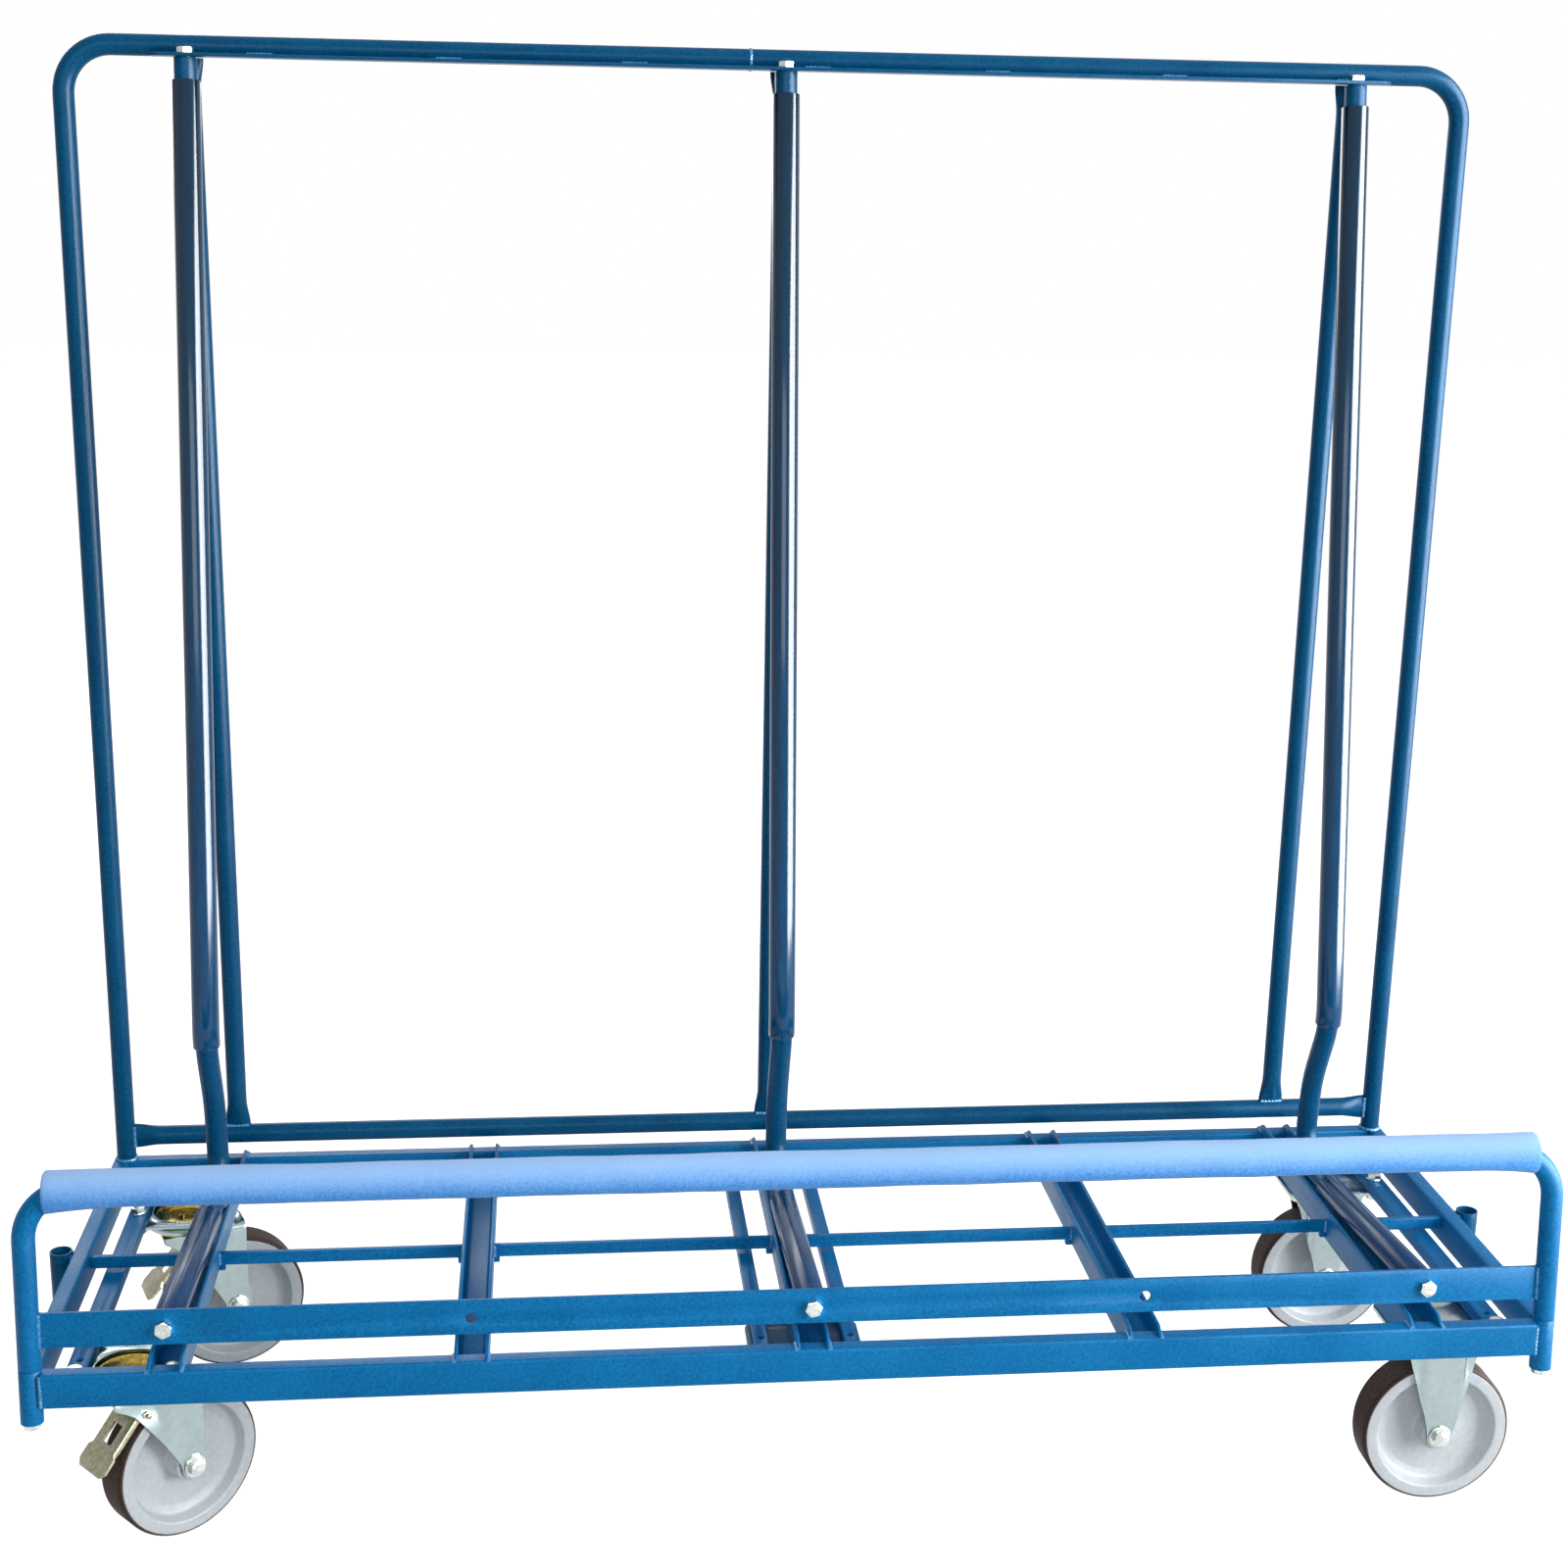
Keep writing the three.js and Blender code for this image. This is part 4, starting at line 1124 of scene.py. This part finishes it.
for name, caster in casters.items():
    stand = Matrix.Translation(caster["centre"])
    holes = [circle_points(x, y, *PLATE_HOLE) for x, y in corners]
    if caster["swivels"]:
        holes.append(circle_points(0, 0, *RACE_HOLE))
    outlines = [rounded_rectangle(*PLATE_HALF, PLATE_CORNER), *holes]
    lift = Matrix.Translation(caster["centre"] + up * (plate_top - PLATE_THICKNESS / 2))
    plate = cut_plate(name + "_plate_pressed", outlines, PLATE_THICKNESS, lift)
    hand_over(plate, "frame", zinc, [name + "_plate"] if caster["swivels"] else [])
    if caster["swivels"]:
        race = turned_piece(name + "_race_housing", RACE_SECTION, RACE_STEPS, stand)
        hand_over(race, "frame", zinc)
        dish = turned_piece(name + "_race_dish", DISH_SECTION, RACE_STEPS, caster_place(name))
        hand_over(dish, caster["body"], race_zinc)
print("plates and races made")

# %% [markdown]
# ## Axles, rivets and pedals
# A long bolt is the axle, with a flanged hexagon on both sides. The pedal is a bent pressing
# with a slot, and turns on a riveted pin. It could be bent here from a sheet, but its CAD shape
# is right, so a copy only gets round edges. The bolt tree sets the rivets too, because they
# repeat, and the patterns that it has set are removed at the end.

# %% Axles, rivets and pedals
AXLE_FLANGE = (13.5 * MM, 2.4 * MM)
AXLE_FLATS, AXLE_HEIGHT = 18 * MM, 6.5 * MM
AXLE_REACH = FORK_HALF + 0.5 * MM
PEDAL_EDGE = 0.7 * MM
RIVET_OUT = FORK_HALF - setback(joints["front_left_brake_pedal"]["pos_m"][2])
RIVET_STEPS = 20
RIVET_SECTION = [(0, -1), (5, -1), (5, 0.6), (4.4, 2.0), (2.8, 2.9), (0, 3.2)]
rivet = turned_piece("rivet", RIVET_SECTION, RIVET_STEPS, Matrix())
axle_end = bolt_pattern("axle_end", AXLE_FLATS, AXLE_HEIGHT, AXLE_FLANGE, AXLE_REACH)
for name, caster in casters.items():
    place = caster_place(name)
    body = caster["body"]
    ends = [place @ Vector((caster["trail"], s * FORK_HALF, caster["axle_z"])) for s in (-1, 1)]
    ways = [place.to_3x3() @ Vector((0, s, 0)) for s in (-1, 1)]
    axle_ends = list(zip(ends, ways))
    set_bolts(name + "_axle_bolt", axle_end, axle_ends, body, [name + "_axle"], seed=len(name))
    if caster["swivels"]:
        pin = Vector(joints[name + "_brake_pedal"]["pos_m"])
        rivets = [(pin + way * RIVET_OUT, way) for way in ways]
        set_bolts(name + "_pedal_rivets", rivet, rivets, body)
        pedal = edged_copy(name + "_pedal_pressed", name + "_pedal", PEDAL_EDGE)
        hand_over(pedal, name + "_pedal_body", pedal_steel, [name + "_pedal"])
for used in (big_bolt, small_bolt, rivet, axle_end):
    bpy.data.objects.remove(used)
print("axles, rivets and pedals set")

# %% [markdown]
# ## Welds
# The steel is welded wherever two pieces meet, and the beads are painted over. A bead is a
# thin bar with ripples, as the pool of metal freezes step by step. Bump in a material could hint
# at it, but its outline would stay smooth. So a Geometry Nodes tree sweeps a circle along each
# seam and lets its size swing with the distance along it.

# %% Weld tree
BEAD_SIDES = 8
STEPS_PER_RIPPLE = 4.0
RIPPLE_DEPTH = 0.16

weld_tree, add, given = new_tree("ripple weld", Radius="Float", Pitch="Float", Finish="Material")
seam = add("GeometryNodeMeshToCurve", {"Mesh": given["Geometry"]})
step = add("ShaderNodeMath", {0: given["Pitch"], 1: STEPS_PER_RIPPLE}, operation="DIVIDE")
fine = add("GeometryNodeResampleCurve", {"Curve": seam, "Length": step}, mode="LENGTH")
run = add("GeometryNodeSplineParameter").outputs["Length"]
count = add("ShaderNodeMath", {0: run, 1: given["Pitch"]}, operation="DIVIDE")
turns = add("ShaderNodeMath", {0: count, 1: 2 * math.pi}, operation="MULTIPLY")
wave = add("ShaderNodeMath", {0: turns}, operation="SINE")
ripple = add("ShaderNodeMath", {0: wave, 1: RIPPLE_DEPTH, 2: 1.0}, operation="MULTIPLY_ADD")
circle = {"Resolution": BEAD_SIDES, "Radius": given["Radius"]}
ring = add("GeometryNodeCurvePrimitiveCircle", circle)
sweep = {"Curve": fine, "Profile Curve": ring, "Scale": ripple, "Fill Caps": True}
end_tree(add, add("GeometryNodeCurveToMesh", sweep), given["Finish"])
print("weld tree:", len(weld_tree.nodes), "nodes")

# %% Welds
BEAD_RADIUS = 2.2 * MM
BEAD_PITCH = 5 * MM
RING_STEPS = 32
PROUD = 1 * MM
POST_SINK = 0.5 * MM
RAIL_INSET = 2 * MM
SOCKET_SPREAD = 6 * MM
PRESS_FRONT, PRESS_HALF = 5 * MM, 14 * MM
CHANNEL_SEAM = 9 * MM
MID_SEAM_Z = 245 * MM
FOOT_FRONT = 4 * MM
SHORT_HALF = 15  # in millimetres
STITCHES = range(-3, 4)
STITCH_SPACE, STITCH_SHIFT = 220 * MM, 40 * MM
TUBE_JOIN_X = -41 * MM
seams = []


def ring_seam(centre, radius, x_way, y_way):
    """A seam once round a tube."""
    spots = circle_points(0, 0, radius, RING_STEPS)
    return [centre + x_way * x + y_way * y for x, y in spots + spots[:1]]


def short_seam(centre):
    """A short seam along X."""
    return [centre - east * SHORT_HALF * MM, centre + east * SHORT_HALF * MM]


mid_low, mid_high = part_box("mid_rail")
wall_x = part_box("right_side_rail")[1].x + PROUD
rail_zs = (RAIL_BOTTOM + RAIL_INSET, RAIL_TOP - RAIL_INSET)
rail_ys = (front_low.y + PROUD, front_low.y + RAIL_INSET)
flat_zs = (FLAT_Z[0] + PROUD, FLAT_Z[1] - PROUD)
flat_outs = (flat_out + PROUD, -flat_out - PROUD)
for side, sign in (("left", -1), ("right", 1)):
    edge = sign * (POST_X - TUBE_RADIUS + POST_SINK)
    seams += [[on_hoop(edge, z, out) for z in flat_zs] for out in flat_outs]
    seams.append([Vector((edge, y, z)) for y, z in zip(rail_ys, rail_zs)])
    seams.append(ring_seam(on_rear(sign * REAR_POST_X, RAIL_TOP + PROUD), TUBE_RADIUS, east, north))
    socket_y = middle("stake_socket_" + side)[1]
    for y in (socket_y - SOCKET_SPREAD, socket_y + SOCKET_SPREAD):
        seams.append([Vector((sign * wall_x, y, z)) for z in rail_zs])
    lower = on_rear(sign * (REAR_POST_X - TUBE_RADIUS), LOWER_Z)
    seams.append([lower + Vector((0, -PRESS_FRONT, z)) for z in (-PRESS_HALF, PRESS_HALF)])
for low, high in map(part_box, channels):
    for x in (low.x, high.x):
        for y in (FRONT_Y, REAR_Y):
            seams.append([Vector((x, y + d, RAIL_TOP)) for d in (-CHANNEL_SEAM, CHANNEL_SEAM)])
        seams.append([Vector((x, mid_low.y - PROUD, z)) for z in (MID_SEAM_Z, mid_high.z)])
for low, high in map(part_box, caster_bars):
    for y in (low.y, high.y):
        seams.append([Vector((x, y, bar_top)) for x in (low.x + PROUD, high.x - PROUD)])
for node in uprights:
    seams.append(short_seam(Vector((middle(node)[0], REAR_Y - FOOT_FRONT, LOWER_Z + TUBE_RADIUS))))
for k in STITCHES:
    stitch_x = k * STITCH_SPACE + STITCH_SHIFT
    seams.append(short_seam(Vector((stitch_x, strip_high.y - PROUD, strip_high.z + PROUD))))
seams.append(ring_seam(on_rear(TUBE_JOIN_X, REAR_TOP_Z), TUBE_RADIUS - PROUD, north, up))
beads = {"Radius": BEAD_RADIUS, "Pitch": BEAD_PITCH, "Finish": weld_paint}
welds = run_tree("weld_beads", chain_mesh("weld_beads", *seams), weld_tree, **beads)
hand_over(welds, "frame")
print("welds:", len(seams), "seams,", len(welds.data.polygons), "faces")

# %% [markdown]
# ## Floor, light and background
# The cart stands on a plain pale floor under soft studio light. More light could make the
# background white, but it would bleach the paint. So the world and the floor show white to the
# camera and in reflections, while the world lights the cart only gently. Area lamps do the rest:
# a broad one in front, one behind, a weak one above and a tall window on the right. A card beside
# the window shows only in reflections, and draws a bright line down each glossy sleeve.

# %% Floor and world
WHITE = (1, 1, 1, 1)
FLOOR_HALF = 20.0
FLOOR_GLOW = 0.9
WORLD_LIGHT = 0.2
floor_mesh = bpy.data.meshes.new("floor")
floor_corners = [(x * FLOOR_HALF, y * FLOOR_HALF, 0) for x, y in ((-1, -1), (1, -1), (1, 1), (-1, 1))]
floor_mesh.from_pydata(floor_corners, [], [(0, 1, 2, 3)])
floor = link_mesh("floor", floor_mesh)
floor_paint = bpy.data.materials.new("pale_floor")
add = start_nodes(floor_paint)
ray = add("ShaderNodeLightPath").outputs
seen = {0: ray["Is Camera Ray"], 1: ray["Is Glossy Ray"]}
shown = add("ShaderNodeMath", seen, operation="MAXIMUM")
glow_share = add("ShaderNodeMath", {0: shown, 1: FLOOR_GLOW}, operation="MULTIPLY")
glow = add("ShaderNodeEmission", {"Color": WHITE, "Strength": glow_share})
matt = add("ShaderNodeBsdfDiffuse", {"Color": linear("#BEBEBE")})
add("ShaderNodeOutputMaterial", {"Surface": add("ShaderNodeAddShader", {0: matt, 1: glow})})
floor_mesh.materials.append(floor_paint)

scene.world = bpy.data.worlds.new("studio")
add = start_nodes(scene.world)
ray = add("ShaderNodeLightPath").outputs
mirrored_ray = {0: ray["Is Glossy Ray"], 1: ray["Is Transmission Ray"]}
seen = {0: ray["Is Camera Ray"], 1: add("ShaderNodeMath", mirrored_ray, operation="MAXIMUM")}
shown = add("ShaderNodeMath", seen, operation="MAXIMUM")
strength = add("ShaderNodeMapRange", {"Value": shown, "To Min": WORLD_LIGHT, "To Max": 1.0})
sky = add("ShaderNodeBackground", {"Color": WHITE, "Strength": strength})
add("ShaderNodeOutputWorld", {"Surface": sky})
scene.view_settings.view_transform = "Standard"
print("floor and world made")

# %% Lamps
LAMPS = {  # a place, a target, a width, a height and a power in watts
    "front_softbox": ((-0.8, -4.5, 2.6), (0, 0, 0.6), 3.0, 1.6, 80),
    "top_softbox": ((0, 0.2, 4.2), (0, 0, 0.5), 3.0, 2.0, 25),
    "right_window": ((3.4, -2.2, 1.9), (0, 0.1, 1.4), 1.8, 3.8, 210),
    "back_softbox": ((-1.5, 4.6, 2.6), (0, 0, 0.6), 3.0, 1.6, 90),
    "reflection_card": ((3.5, -2.1, 1.9), (0, -2.1, 1.9), 4.8, 4.0, 2000),
}
holders = {}
for name, (place, target, width, height, power) in LAMPS.items():
    lamp = bpy.data.lights.new(name, "AREA")
    lamp.shape = "RECTANGLE"
    lamp.size = width
    lamp.size_y = height
    lamp.energy = power
    holders[name] = bpy.data.objects.new(name, lamp)
    aim = (Vector(target) - Vector(place)).to_track_quat("-Z", "Y")
    holders[name].matrix_world = Matrix.Translation(place) @ aim.to_matrix().to_4x4()
    scene.collection.objects.link(holders[name])
holders["top_softbox"].visible_glossy = False
holders["reflection_card"].visible_diffuse = False
print("lamps:", ", ".join(holders))
